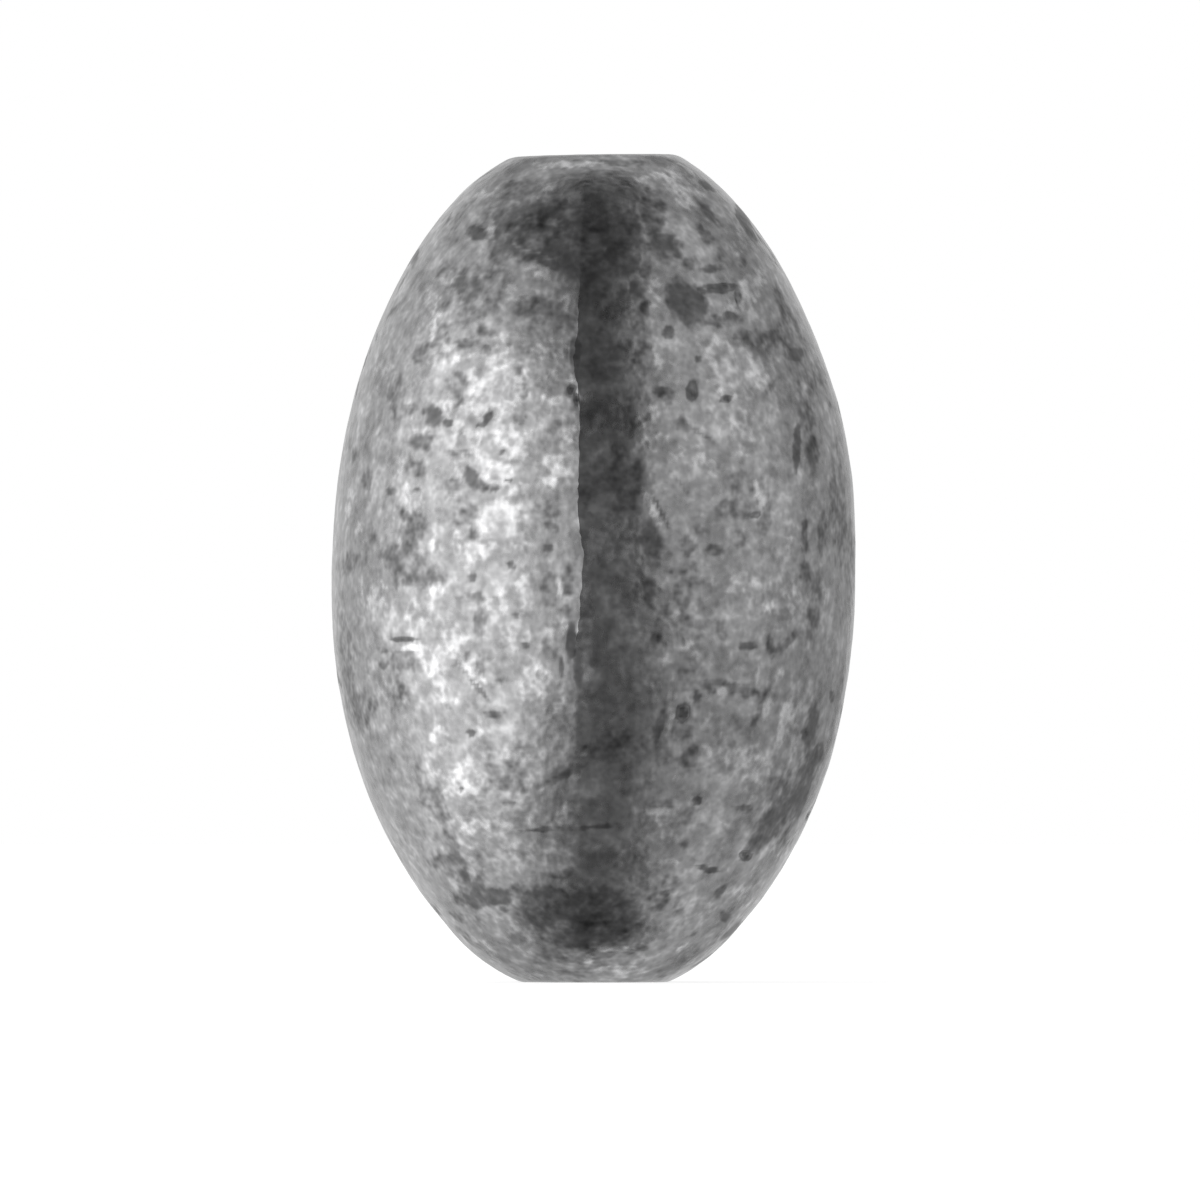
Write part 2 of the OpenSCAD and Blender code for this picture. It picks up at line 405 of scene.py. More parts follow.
UPPER_MARKS = (
    stain("left_speck_a", 466, 343, 26, 12, -8, 0.60),
    stain("left_speck_b", 487, 352, 16, 14, 0, 0.45),
    stain("left_speck_c", 457, 384, 24, 30, 0, 0.60),
    pit("left_speck_d", 489, 414, 10, 18, 25, 0.65),
    stain("left_speck_e", 481, 425, 12, 8, 0, 0.80),
    stain("left_speck_f", 520, 390, 18, 24, 0, 0.85),
    stain("left_speck_g", 520, 415, 16, 20, 0, 0.40),
    stain("left_speck_h", 434, 415, 24, 24, 0, 0.75),
    stain("left_speck_i", 449, 423, 14, 8, 0, 0.75),
    stain("left_speck_j", 410, 408, 17, 13, 0, 0.55),
    stain("left_speck_k", 461, 403, 26, 9, -25, 0.60),
    stain("left_speck_l", 467, 431, 16, 8, -20, 0.50),
    stain("left_speck_m", 460, 454, 24, 11, 10, 0.60),
    pit("left_speck_n", 502, 453, 12, 7, -40, 0.50),
    stain("left_speck_o", 475, 479, 36, 18, 38, 0.80),
    pit("left_speck_p", 494, 487, 10, 13, 0, 0.60),
    pit("left_speck_q", 508, 481, 9, 7, 0, 0.80),
    stain("left_speck_r", 453, 487, 22, 18, 0, 0.50),
    stain("left_speck_s", 392, 491, 13, 10, 0, 0.55),
    stain("left_speck_t", 417, 491, 9, 9, 0, 0.60),
    stain("left_cloud_a", 410, 525, 30, 60, -12, 0.55),
    stain("left_cloud_b", 464, 516, 34, 38, 0, 0.40),
    stain("left_cloud_c", 370, 538, 14, 34, 0, 0.35),
    stain("left_cloud_d", 396, 552, 30, 18, 0, 0.55),
    stain("left_cloud_e", 414, 468, 30, 18, 0, 0.40),
    stain("left_cloud_f", 396, 394, 20, 50, -6, 0.55),
    stain("left_cloud_g", 420, 441, 30, 18, 0, 0.75),
    stain("left_cloud_h", 540, 348, 44, 16, 0, 0.35),
    stain("left_cloud_i", 553, 426, 18, 22, 0, 0.50),
    stain("left_cloud_j", 545, 510, 34, 20, 0, 0.35),
    stain("left_cloud_k", 549, 549, 14, 14, 0, 0.60),
    stain("left_cloud_l", 368, 480, 12, 20, 0, 0.60),
    stain("left_cloud_p", 425, 352, 34, 20, -35, 0.60),
    stain("left_cloud_q", 475, 535, 14, 30, 0, 0.80),
    stain("left_cloud_r", 552, 526, 16, 14, 0, 0.55),
    stain("left_cloud_s", 407, 562, 46, 36, 0, 0.60),
    stain("left_cloud_t", 516, 370, 18, 22, 0, 0.80),
    stain("left_cloud_u", 350, 450, 18, 34, 0, 0.35),
    pit("line_speck_a", 572, 389, 9, 9, 0, 0.90),
    pit("line_speck_b", 577, 399, 6, 11, 0, 0.90),
    stain("line_bite", 575, 352, 12, 36, 0, 0.85),
    rub("bright_top", 502, 342, 20, 18, 0, 0.80),
    rub("bright_field_a", 498, 388, 52, 56, 0, 0.90),
    rub("bright_field_b", 510, 440, 40, 30, 0, 0.55),
    rub("bright_block", 500, 522, 44, 46, 0, 1.10),
    rub("bright_field_c", 499, 474, 28, 28, 0, 0.85),
    rub("bright_vein_a", 478, 448, 9, 44, 0, 0.60),
    rub("bright_vein_b", 462, 416, 14, 44, 25, 0.75),
    rub("bright_vein_c", 462, 358, 30, 8, -15, 0.45),
    rub("bright_fleck_a", 448, 348, 16, 8, -20, 0.60),
    rub("bright_fleck_b", 433, 358, 12, 20, 0, 0.45),
    rub("bright_fleck_c", 422, 432, 20, 9, 12, 0.35),
    rub("bright_fleck_d", 414, 502, 22, 20, 20, 0.80),
    rub("bright_fleck_e", 405, 490, 8, 20, 0, 0.45),
    rub("bright_fleck_f", 567, 453, 16, 48, 0, 0.75),
    rub("bright_fleck_g", 549, 480, 16, 9, 0, 0.75),
    rub("bright_fleck_h", 452, 497, 8, 7, 0, 0.75),
    rub("bright_fleck_i", 514, 378, 9, 8, 0, 0.70),
    rub("bright_fleck_j", 482, 406, 18, 16, 0, 0.95),
    rub("bright_fleck_k", 519, 490, 24, 14, 0, 0.75),
    rub("bright_fleck_l", 504, 348, 10, 22, 0, 0.90),
    rub("bright_fleck_m", 554, 350, 36, 20, 0, 0.72),
    rub("bright_fleck_n", 462, 535, 20, 16, 0, 0.62),
    rub("bright_fleck_o", 363, 532, 12, 24, 0, 0.40),
    rub("bright_fleck_p", 402, 530, 10, 26, 0, 0.45),
    rub("bright_fleck_q", 556, 462, 30, 20, 0, 0.50),
    rub("bright_fleck_r", 545, 400, 30, 16, 0, 0.45),
    rub("bright_fleck_s", 384, 374, 22, 34, 0, 0.45),
    rub("bright_fleck_t", 468, 430, 12, 22, 0, 0.80),
    rub("bright_fleck_u", 512, 455, 30, 12, 0, 0.80),
    rub("bright_fleck_v", 512, 540, 40, 18, 0, 0.60),
    rub("bright_fleck_w", 352, 512, 16, 50, 0, 0.32),
    rub("bright_fleck_x", 449, 402, 12, 30, 0, 0.60),
    rub("bright_fleck_y", 400, 464, 26, 20, 0, 0.50),
    rub("bright_fleck_z", 459, 460, 12, 38, 0, 0.55),
    # Painted light: lightens part of the dark reflection band
    rub("band_glow_c", 589, 417, 18, 44, 0, 0.80),
    rub("line_gleam_top", 572, 379, 7, 8, 0, 0.85),
    rub("line_gleam", 575, 440, 6, 60, 0, 0.45),
    stain("right_speck_a", 659, 391, 15, 11, 30, 0.58),
    stain("right_speck_b", 692, 391, 11, 20, 4, 1.15),
    stain("right_speck_c", 728, 398, 14, 9, 0, 1.15),
    stain("right_speck_d", 734, 357, 28, 5, 62, 0.70),
    stain("right_speck_e", 699, 359, 9, 8, 0, 0.65),
    stain("right_speck_f", 669, 394, 12, 16, -20, 0.50),
    stain("right_cloud_a", 760, 337, 56, 15, 0, 0.55),
    stain("right_cloud_b", 796, 354, 22, 13, -10, 0.85),
    stain("right_cloud_c", 772, 350, 14, 20, 0, 0.52),
    stain("right_cloud_d", 769, 387, 26, 10, -48, 0.60),
    stain("right_cloud_e", 750, 386, 10, 18, -20, 0.60),
    stain("right_cloud_f", 812, 380, 34, 44, 0, 0.35),
    stain("right_cloud_g", 797, 448, 8, 54, 3, 0.80),
    stain("right_cloud_h", 812, 452, 15, 40, 0, 0.55),
    stain("right_cloud_i", 690, 429, 50, 7, 25, 0.45),
    stain("right_cloud_j", 681, 484, 44, 6, 52, 0.35),
    stain("right_cloud_k", 661, 512, 44, 7, 62, 0.50),
    stain("right_cloud_l", 651, 540, 24, 48, -12, 0.62),
    stain("right_cloud_m", 742, 486, 34, 30, 0, 0.50),
    stain("right_cloud_n", 736, 509, 42, 22, 0, 0.58),
    stain("right_cloud_low", 738, 539, 22, 18, 0, 0.48),
    pit("right_speck_g", 755, 515, 13, 8, -10, 0.75),
    stain("right_cloud_o", 700, 524, 14, 34, 0, 0.45),
    stain("right_cloud_p", 712, 550, 26, 12, 0, 0.50),
    stain("right_cloud_q", 822, 535, 10, 46, 0, 0.50),
    stain("right_cloud_r", 805, 536, 6, 40, 0, 0.55),
    stain("right_cloud_s", 632, 410, 10, 30, 0, 0.40),
    # Painted shade: the next five marks darken the right rim, as the light falls off there
    stain("right_rim_painted_shade_top", 792, 356, 18, 110, -14, 0.40),
    stain("right_rim_painted_shade", 790, 322, 14, 80, -22, 0.52),
    stain("right_rim_painted_shade_low", 806, 412, 18, 50, -10, 0.50),
    stain("right_rim_painted_shade_foot", 850, 560, 12, 80, 0, 0.42),
    stain("right_rim_painted_shade_mid", 838, 505, 16, 130, -3, 0.56),
    stain("right_cloud_v", 688, 547, 18, 22, 0, 0.65),
    stain("right_cloud_w", 668, 402, 12, 14, 0, 0.50),
    stain("right_cloud_x", 682, 426, 22, 20, 0, 0.55),
    stain("right_cloud_y", 638, 388, 12, 22, 0, 0.40),
    stain("right_cloud_z", 764, 508, 20, 60, 0, 0.45),
    # Painted dark reflection: darkens the band in which the lead mirrors the dim room in front of it
    stain("band_painted_reflection_b", 616, 486, 64, 74, 0, 0.60),
    rub("right_gleam_a", 756, 487, 5, 15, 0, 0.90),
    rub("right_gleam_b", 763, 498, 5, 18, 0, 0.80),
    rub("right_gleam_c", 789, 542, 9, 14, 20, 0.60),
    rub("right_gleam_d", 652, 508, 7, 42, -27, 0.75),
    rub("right_field_a", 738, 374, 52, 50, 0, 0.95),
    rub("right_field_b", 660, 358, 26, 26, 0, 0.40),
    rub("right_field_c", 650, 415, 26, 26, 0, 0.40),
    rub("right_field_d", 690, 452, 50, 26, 20, 0.35),
    rub("right_field_e", 764, 362, 26, 24, 0, 0.62),
    rub("right_field_p", 742, 436, 22, 40, 0, 0.75),
    rub("right_field_q", 702, 520, 18, 16, 0, 0.48),
    rub("right_field_r", 662, 362, 14, 26, 0, 0.50),
    rub("right_field_s", 656, 442, 26, 16, 0, 0.62),
    rub("right_field_u", 714, 466, 20, 18, 0, 0.45),
    # Painted light: lightens part of the dark reflection band
    rub("band_glow_a", 607, 541, 44, 36, 0, 0.88),
)

LOWER_MARKS = (
    stain("left_low_a", 472, 577, 11, 11, 0, 0.75),
    stain("left_low_b", 418, 579, 56, 20, 0, 0.58),
    stain("left_low_c", 352, 563, 30, 22, -30, 0.50),
    stain("left_low_d", 372, 586, 6, 20, 0, 0.50),
    stain("left_low_e", 512, 566, 10, 12, 0, 0.60),
    stain("left_low_f", 515, 617, 11, 9, 0, 0.45),
    stain("left_low_g", 500, 598, 14, 8, 0, 0.45),
    stain("left_low_h", 480, 620, 14, 46, 0, 0.55),
    stain("left_low_v", 480, 666, 14, 28, 0, 0.50),
    stain("scratch_shade", 408, 640, 32, 5, 3, 0.95),
    stain("scratch_foot", 407, 652, 30, 5, 0, 0.45),
    stain("left_low_i", 467, 655, 9, 9, 0, 0.45),
    stain("left_low_j", 384, 664, 9, 9, 0, 0.65),
    stain("left_low_k", 384, 651, 12, 6, 40, 0.50),
    stain("left_cloud_m", 394, 690, 30, 40, 0, 0.35),
    stain("left_cloud_y", 400, 663, 38, 20, 0, 0.60),
    stain("left_cloud_z", 358, 712, 26, 60, -12, 0.45),
    stain("left_cloud_n", 374, 704, 12, 20, 0, 0.50),
    stain("left_cloud_o", 392, 770, 40, 30, 0, 0.15),
    stain("left_low_l", 477, 686, 32, 8, 48, 0.55),
    stain("left_low_m", 493, 684, 22, 9, 0, 0.30),
    stain("left_low_n", 474, 706, 14, 11, 0, 0.30),
    stain("left_low_o", 449, 706, 10, 10, 0, 0.50),
    stain("left_low_p", 461, 666, 30, 8, 45, 0.45),
    pit("left_low_q", 471, 733, 10, 8, 0, 0.55),
    stain("left_low_r", 429, 748, 13, 9, 0, 0.35),
    stain("left_low_s", 493, 714, 22, 8, 0, 0.45),
    stain("left_low_t", 494, 742, 34, 22, 0, 0.15),
    stain("left_low_w", 474, 597, 40, 14, 0, 0.45),
    stain("left_low_u", 525, 645, 12, 6, 0, 0.60),
    stain("line_shade_a", 571, 640, 11, 44, 0, 0.80),
    stain("line_shade_b", 562, 668, 6, 26, 0, 0.45),
    stain("line_shade_c", 566, 612, 12, 20, 0, 0.45),
    stain("line_shade_d", 566, 716, 8, 34, 8, 0.30),
    stain("line_cloud_a", 549, 588, 20, 40, 0, 0.62),
    stain("line_cloud_d", 568, 582, 16, 34, 0, 0.50),
    stain("line_cloud_b", 546, 640, 24, 30, 0, 0.35),
    stain("left_cloud_v", 506, 640, 14, 16, 0, 0.55),
    stain("left_cloud_w", 347, 660, 16, 120, -6, 0.44),
    stain("left_cloud_x", 524, 782, 24, 20, 0, 0.40),
    stain("line_cloud_c", 556, 716, 30, 30, 0, 0.15),
    stain("low_shade", 506, 768, 70, 66, 0, 0.36),
    stain("smear_a", 582, 750, 18, 5, -50, 0.45),
    stain("smear_b", 562, 776, 54, 9, -26, 0.55),
    stain("smear_c", 508, 782, 18, 12, 0, 0.55),
    stain("smear_d", 480, 793, 18, 14, 0, 0.50),
    stain("smear_e", 508, 803, 18, 8, 0, 0.55),
    stain("smear_f", 530, 750, 20, 12, 0, 0.40),
    rub("low_gleam_a", 412, 646, 32, 5, 3, 1.10),
    rub("low_field_a", 438, 592, 16, 14, 0, 0.60),
    rub("low_field_b", 474, 552, 40, 18, 0, 0.85),
    rub("low_field_c", 430, 548, 24, 18, 0, 0.35),
    rub("low_field_d", 452, 640, 34, 26, 0, 0.70),
    rub("low_field_e", 432, 665, 18, 50, -28, 0.75),
    rub("low_field_f", 420, 612, 36, 26, 0, 0.50),
    rub("low_field_g", 448, 696, 26, 22, 0, 0.40),
    rub("low_field_h", 508, 635, 40, 28, 0, 0.35),
    rub("low_field_i", 503, 605, 9, 30, 0, 0.70),
    rub("low_field_j", 487, 606, 14, 14, 0, 0.60),
    rub("low_field_k", 526, 592, 20, 46, 0, 0.95),
    rub("low_field_l", 516, 756, 30, 12, 0, 0.50),
    rub("low_field_m", 444, 742, 16, 14, 0, 0.75),
    rub("low_field_n", 479, 730, 7, 44, 0, 0.55),
    rub("low_field_o", 473, 672, 34, 8, 45, 0.70),
    rub("low_field_p", 463, 780, 38, 34, 0, 0.80),
    rub("low_field_q", 436, 770, 24, 16, 0, 0.40),
    rub("low_field_r", 560, 708, 18, 40, 0, 0.60),
    rub("low_field_s", 532, 684, 22, 44, 0, 0.80),
    rub("low_field_t", 440, 734, 18, 18, 0, 0.90),
    rub("low_field_u", 388, 690, 20, 30, 0, 0.40),
    rub("low_field_v", 556, 632, 26, 26, 0, 0.45),
    rub("low_field_w", 576, 764, 10, 40, 0, 0.40),
    rub("low_field_x", 376, 592, 34, 40, 0, 0.38),
    rub("low_field_y", 476, 757, 20, 20, 0, 0.70),
    # Painted light: lightens part of the dark reflection band
    rub("band_glow_b", 587, 636, 14, 120, 0, 0.58),
    rub("low_gleam_c", 549, 675, 12, 9, 0, 0.70),
    rub("low_gleam_d", 580, 626, 5, 15, 0, 0.90),
    rub("low_gleam_e", 583, 755, 12, 4, -30, 0.80),
    rub("low_gleam_f", 560, 594, 5, 22, 0, 0.60),
    rub("low_gleam_g", 590, 552, 8, 32, 0, 0.80),
    stain("right_low_a", 682, 713, 17, 17, 20, 1.40),
    stain("right_low_b", 660, 726, 11, 46, 16, 0.60),
    stain("right_low_c", 687, 604, 10, 22, 0, 0.45),
    stain("right_low_d", 678, 572, 22, 12, 0, 0.45),
    stain("right_low_e", 748, 647, 22, 10, 0, 0.70),
    stain("right_low_f", 770, 646, 10, 20, -15, 0.60),
    stain("right_low_g", 787, 643, 44, 12, -42, 0.55),
    stain("right_low_h", 815, 606, 16, 70, 6, 0.70),
    stain("right_low_i", 734, 689, 76, 16, 8, 0.60),
    stain("right_low_j", 696, 697, 8, 10, 0, 0.75),
    stain("right_low_k", 762, 705, 62, 9, -66, 0.45),
    stain("right_low_l", 806, 572, 16, 26, 0, 0.50),
    stain("right_low_m", 811, 728, 56, 16, -80, 0.70),
    stain("right_low_n", 816, 757, 28, 13, -70, 1.00),
    stain("right_low_y", 807, 733, 13, 13, 0, 0.95),
    stain("right_low_o", 832, 697, 6, 14, 0, 0.75),
    stain("right_low_p", 655, 640, 16, 14, 0, 0.45),
    stain("right_low_q", 650, 590, 14, 34, 0, 0.50),
    stain("right_low_r", 684, 598, 22, 56, 0, 0.52),
    # Painted dark reflection: darkens the band in which the lead mirrors the dim room in front of it
    stain("band_low_painted_reflection", 628, 633, 20, 22, 0, 0.42),
    stain("right_low_s", 721, 630, 14, 34, -10, 0.45),
    stain("right_low_t", 691, 758, 24, 26, 0, 0.60),
    stain("right_low_u", 682, 729, 30, 24, 0, 0.52),
    stain("right_shade", 692, 640, 30, 220, 0, 0.28),
    stain("right_low_w", 664, 612, 20, 16, 0, 0.50),
    stain("right_low_z", 664, 752, 24, 20, 0, 0.42),
    stain("right_low_x", 734, 754, 22, 60, 10, 0.45),
    stain("right_low_v", 797, 786, 84, 28, -62, 0.65),
    # Painted dark reflection: darkens the band in which the lead mirrors the dim room in front of it
    stain("band_painted_reflection_c", 620, 745, 62, 32, 0, 0.50),
    rub("right_vein_a", 671, 706, 7, 44, 4, 0.62),
    rub("right_vein_low", 665, 734, 7, 26, 24, 0.50),
    rub("right_vein_b", 672, 625, 8, 34, 25, 0.40),
    rub("right_vein_c", 664, 655, 7, 40, 0, 0.35),
    rub("right_field_f", 653, 690, 17, 24, 0, 0.40),
    rub("right_field_g", 742, 585, 46, 34, 0, 0.30),
    rub("right_field_h", 784, 600, 42, 40, 0, 0.62),
    rub("right_field_i", 710, 590, 10, 24, 0, 0.40),
    rub("right_field_j", 785, 722, 12, 44, 12, 0.92),
    rub("right_field_k", 778, 676, 14, 17, 0, 0.50),
    rub("right_field_l", 795, 715, 16, 70, 4, 0.30),
    rub("right_field_m", 748, 762, 44, 34, 0, 0.58),
    rub("right_field_n", 712, 770, 20, 16, 0, 0.20),
    rub("right_field_o", 818, 590, 20, 34, 0, 0.45),
    rub("right_curl_a", 768, 706, 8, 28, 12, 0.85),
    rub("right_curl_b", 757, 674, 7, 28, 12, 0.50),
    rub("right_curl_c", 724, 691, 12, 9, 0, 0.45),
    rub("right_curl_d", 712, 749, 22, 18, 0, 0.50),
    rub("right_curl_e", 676, 779, 7, 13, 30, 0.65),
    rub("right_curl_f", 708, 718, 7, 26, 35, 0.50),
    rub("right_curl_g", 724, 735, 8, 16, 10, 0.50),
    rub("right_field_t", 692, 650, 20, 16, 0, 0.48),
)

FOOT_MARKS = (
    pit("foot_ring", 461, 789, 7, 9, 0, 0.70),
    stain("foot_left_a", 433, 797, 26, 34, 0, 0.58),
    stain("foot_left_b", 444, 818, 34, 16, 0, 0.42),
    stain("foot_left_h", 500, 822, 24, 16, 0, 0.45),
    stain("foot_left_i", 486, 858, 24, 16, 0, 0.40),
    stain("foot_line_a", 438, 798, 56, 13, 70, 0.48),
    stain("foot_line_b", 451, 838, 56, 14, 72, 0.50),
    stain("foot_line_c", 465, 880, 60, 18, 74, 0.62),
    stain("foot_bar", 488, 898, 60, 20, 0, 0.80),
    stain("foot_edge", 476, 893, 16, 42, 8, 0.75),
    stain("foot_fold", 542, 829, 72, 4, -1, 0.80),
    stain("foot_fold_right", 594, 827, 56, 5, -5, 0.70),
    stain("foot_blot_a", 544, 908, 54, 42, 0, 0.95),
    stain("foot_blot_b", 600, 915, 72, 56, 0, 1.00),
    stain("foot_blot_c", 574, 938, 56, 26, 0, 0.65),
    stain("foot_blot_d", 612, 866, 40, 34, 0, 0.25),
    stain("foot_blot_e", 562, 874, 42, 12, 0, 0.35),
    stain("foot_blot_f", 640, 947, 22, 9, 10, 0.50),
    stain("foot_left_c", 434, 869, 14, 9, 30, 0.45),
    stain("foot_rim_a", 434, 909, 24, 6, 40, 0.55),
    stain("foot_rim_b", 467, 937, 44, 7, 42, 0.55),
    stain("foot_left_d", 504, 910, 13, 6, 10, 0.50),
    stain("foot_right_a", 697, 801, 11, 9, 0, 0.85),
    stain("foot_right_b", 744, 809, 24, 10, 0, 0.60),
    stain("foot_right_c", 708, 869, 26, 7, 12, 0.75),
    stain("foot_right_d", 720, 892, 22, 9, -62, 0.50),
    stain("foot_right_e", 725, 916, 11, 11, 0, 0.65),
    stain("foot_right_f", 664, 895, 11, 8, 0, 0.60),
    stain("foot_right_g", 684, 845, 14, 12, 0, 0.35),
    stain("foot_right_h", 662, 806, 26, 16, 0, 0.50),
    stain("foot_right_i", 692, 817, 24, 24, 0, 0.50),
    stain("foot_right_j", 672, 882, 20, 18, 0, 0.45),
    stain("foot_right_m", 656, 902, 30, 20, 0, 0.50),
    stain("foot_right_k", 679, 914, 14, 32, 0, 0.45),
    stain("foot_right_l", 634, 886, 26, 26, 0, 0.40),
    stain("foot_left_e", 450, 866, 50, 26, 10, 0.55),
    stain("foot_left_f", 520, 894, 20, 26, 0, 0.50),
    stain("foot_left_g", 424, 780, 14, 56, -6, 0.42),
    stain("foot_low_shade", 552, 956, 50, 18, 0, 0.40),
    pit("foot_spot", 746, 855, 11, 11, 0, 0.90),
    # Painted shadow: the next two marks darken a slash as a dent's shadow would
    stain("foot_dent_shadow", 768, 828, 70, 26, -52, 0.68),
    stain("foot_dent_shadow_top", 781, 784, 58, 16, -46, 0.50),
    stain("foot_shade", 782, 812, 30, 30, 0, 0.60),
    stain("foot_rim_c", 802, 800, 54, 9, -72, 0.70),
    stain("foot_rim_d", 732, 930, 30, 6, -42, 0.65),
    stain("foot_corner", 660, 974, 14, 10, 0, 0.40),
    rub("foot_field_a", 476, 826, 44, 22, 0, 0.55),
    rub("foot_field_b", 470, 852, 9, 14, 0, 0.65),
    rub("foot_field_c", 472, 874, 9, 14, -30, 0.60),
    rub("foot_field_d", 520, 852, 50, 26, 0, 0.25),
    rub("foot_field_e", 522, 934, 30, 40, 0, 0.40),
    rub("foot_field_f", 654, 820, 32, 8, 0, 0.62),
    rub("foot_field_g", 664, 834, 30, 16, 0, 0.50),
    rub("foot_field_h", 664, 862, 40, 8, 5, 0.50),
    rub("foot_field_q", 656, 812, 40, 7, 0, 0.60),
    rub("foot_field_r", 664, 822, 20, 12, 0, 0.45),
    rub("foot_field_i", 780, 852, 24, 16, 0, 0.35),
    rub("foot_field_j", 746, 896, 32, 26, 0, 0.38),
    rub("foot_field_k", 702, 908, 22, 30, 0, 0.25),
    rub("foot_field_l", 568, 815, 24, 26, 0, 0.82),
    rub("foot_field_m", 756, 784, 20, 28, 0, 0.42),
    rub("foot_field_n", 646, 826, 14, 22, 0, 0.40),
    rub("foot_field_o", 518, 824, 40, 20, 0, 0.58),
    rub("foot_field_p", 684, 954, 22, 20, 0, 0.65),
    rub("foot_curl_top", 612, 949, 38, 6, -4, 0.75),
    rub("foot_curl_left", 588, 960, 10, 22, 35, 0.55),
    rub("foot_curl_low", 624, 970, 54, 14, 0, 0.45),
    rub("foot_curl_right", 640, 953, 18, 6, 30, 0.50),
    rub("foot_corner_gleam", 534, 974, 16, 7, 0, 0.55),
    rub("foot_rim_gleam", 486, 948, 40, 8, 42, 0.45),
    rub("foot_dark_gleam", 575, 820, 8, 16, 30, 0.35),
    # Painted light: the next two marks lighten part of the dark foot
    rub("foot_painted_light", 606, 855, 44, 18, 0, 0.50),
    rub("foot_painted_light_low", 588, 886, 28, 18, 0, 0.40),
)


@dataclass(frozen=True)
class View:
    """Where a mesh's points are seen in the photograph, and which of them lie in front."""

    columns: np.ndarray
    rows: np.ndarray
    facing: np.ndarray


@dataclass(frozen=True)
class Photograph:
    """The photograph's camera, which is the scene's own, and the sinker's place in its pixels."""

    body_d: float
    ring_z: float
    frame: int = 1200
    body_left: float = 331.5
    body_right: float = 855.5
    ring_row: float = 575.3
    distance: float = 900 * MM
    elevation: float = math.radians(-0.25)
    sensor: float = 36.0

    @property
    def pixel(self) -> float:
        """Metres that one pixel spans at the sinker's axis."""
        return self.body_d / (self.body_right - self.body_left)

    @property
    def axis_column(self) -> float:
        """Column in which the sinker's axis is seen."""
        return (self.body_left + self.body_right) / 2

    @property
    def back(self) -> Vector:
        """Direction from the sinker to the camera."""
        return Vector((0.0, -math.cos(self.elevation), math.sin(self.elevation)))

    @property
    def eye(self) -> Vector:
        """Place of the camera.

        Returns:
            The place from which the sinker's axis and widest ring are seen where they should be.
        """
        middle = self.frame / 2
        aim = Vector((
            (middle - self.axis_column) * self.pixel, 0.0,
            self.ring_z - (middle - self.ring_row) * self.pixel))
        return aim + self.back * self.distance

    def height_of(self, row: float) -> float:
        """Height above the bottom end at which a row meets the sinker's axis."""
        return self.ring_z + (self.ring_row - row) * self.pixel

    def camera(self) -> bpy.types.Object:
        """Make the camera and set it as the scene's own.

        Returns:
            The camera.
        """
        data = bpy.data.cameras.new("camera")
        data.sensor_width = self.sensor
        data.lens = self.sensor * self.distance / (self.frame * self.pixel)
        data.clip_start, data.clip_end = 0.01, 5.0
        made = bpy.data.objects.new("camera", data)
        made.location = self.eye
        made.rotation_mode = "QUATERNION"
        made.rotation_quaternion = (-self.back).to_track_quat("-Z", "Y")
        bpy.context.scene.collection.objects.link(made)
        bpy.context.scene.camera = made
        return made

    def pixels(self, places: np.ndarray) -> tuple[np.ndarray, np.ndarray]:
        """Columns and rows of the photograph's pixels in which places are seen.

        Args:
            places: One place to a row, in metres.

        Returns:
            The columns, and the rows.
        """
        offset = places - np.array(self.eye)
        up = np.array((0.0, math.sin(self.elevation), math.cos(self.elevation)))
        depth = offset @ np.array(-self.back)
        reach = self.distance / self.pixel
        middle = self.frame / 2
        return middle + reach * offset[:, 0] / depth, middle - reach * (offset @ up) / depth

    def view(self, places: np.ndarray, turn: float = 0.0) -> View:
        """Where places are seen when the sinker is turned about its bore.

        Args:
            places: One place to a row, in metres.
            turn: The turn, in degrees.

        Returns:
            The pixels, and which places are on the side that faces the camera.
        """
        angle = math.radians(turn)
        cosine, sine = math.cos(angle), math.sin(angle)
        turned = places.copy()
        turned[:, 0] = cosine * places[:, 0] + sine * places[:, 1]
        turned[:, 1] = cosine * places[:, 1] - sine * places[:, 0]
        columns, rows = self.pixels(turned)
        return View(columns, rows, turned[:, 1] < 0.0)


@dataclass(frozen=True)
class Measures:
    """Sizes of the sinker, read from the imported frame."""

    body_r: float
    body_l: float
    liner_r: float
    liner_wall: float
    lip_r: float
    lip_z: float

    @classmethod
    def from_frame(cls) -> "Measures":
        """Read the sizes from the CAD nodes' boxes and the line bore's mount.

        Returns:
            The sizes.
        """
        low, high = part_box("lead_body")
        liner_low, liner_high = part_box("bore_liner")
        mounts = {mount["name"]: mount for mount in frame["record"]["mounts"]}
        bore = mounts["line_bore"]["dims"]
        lip_r = (liner_high[0] - liner_low[0]) / 2
        flare = (liner_high[2] - liner_low[2] - bore["length_mm"] * MM) / 2
        return cls(
            body_r=(high[0] - low[0]) / 2,
            body_l=high[2] - low[2],
            liner_r=lip_r - flare,
            liner_wall=lip_r - flare - bore["r_mm"] * MM,
            lip_r=lip_r,
            lip_z=liner_low[2] - low[2],
        )

    @property
    def flare(self) -> float:
        """How far each lip of the liner spreads beyond its tube."""
        return self.lip_r - self.liner_r


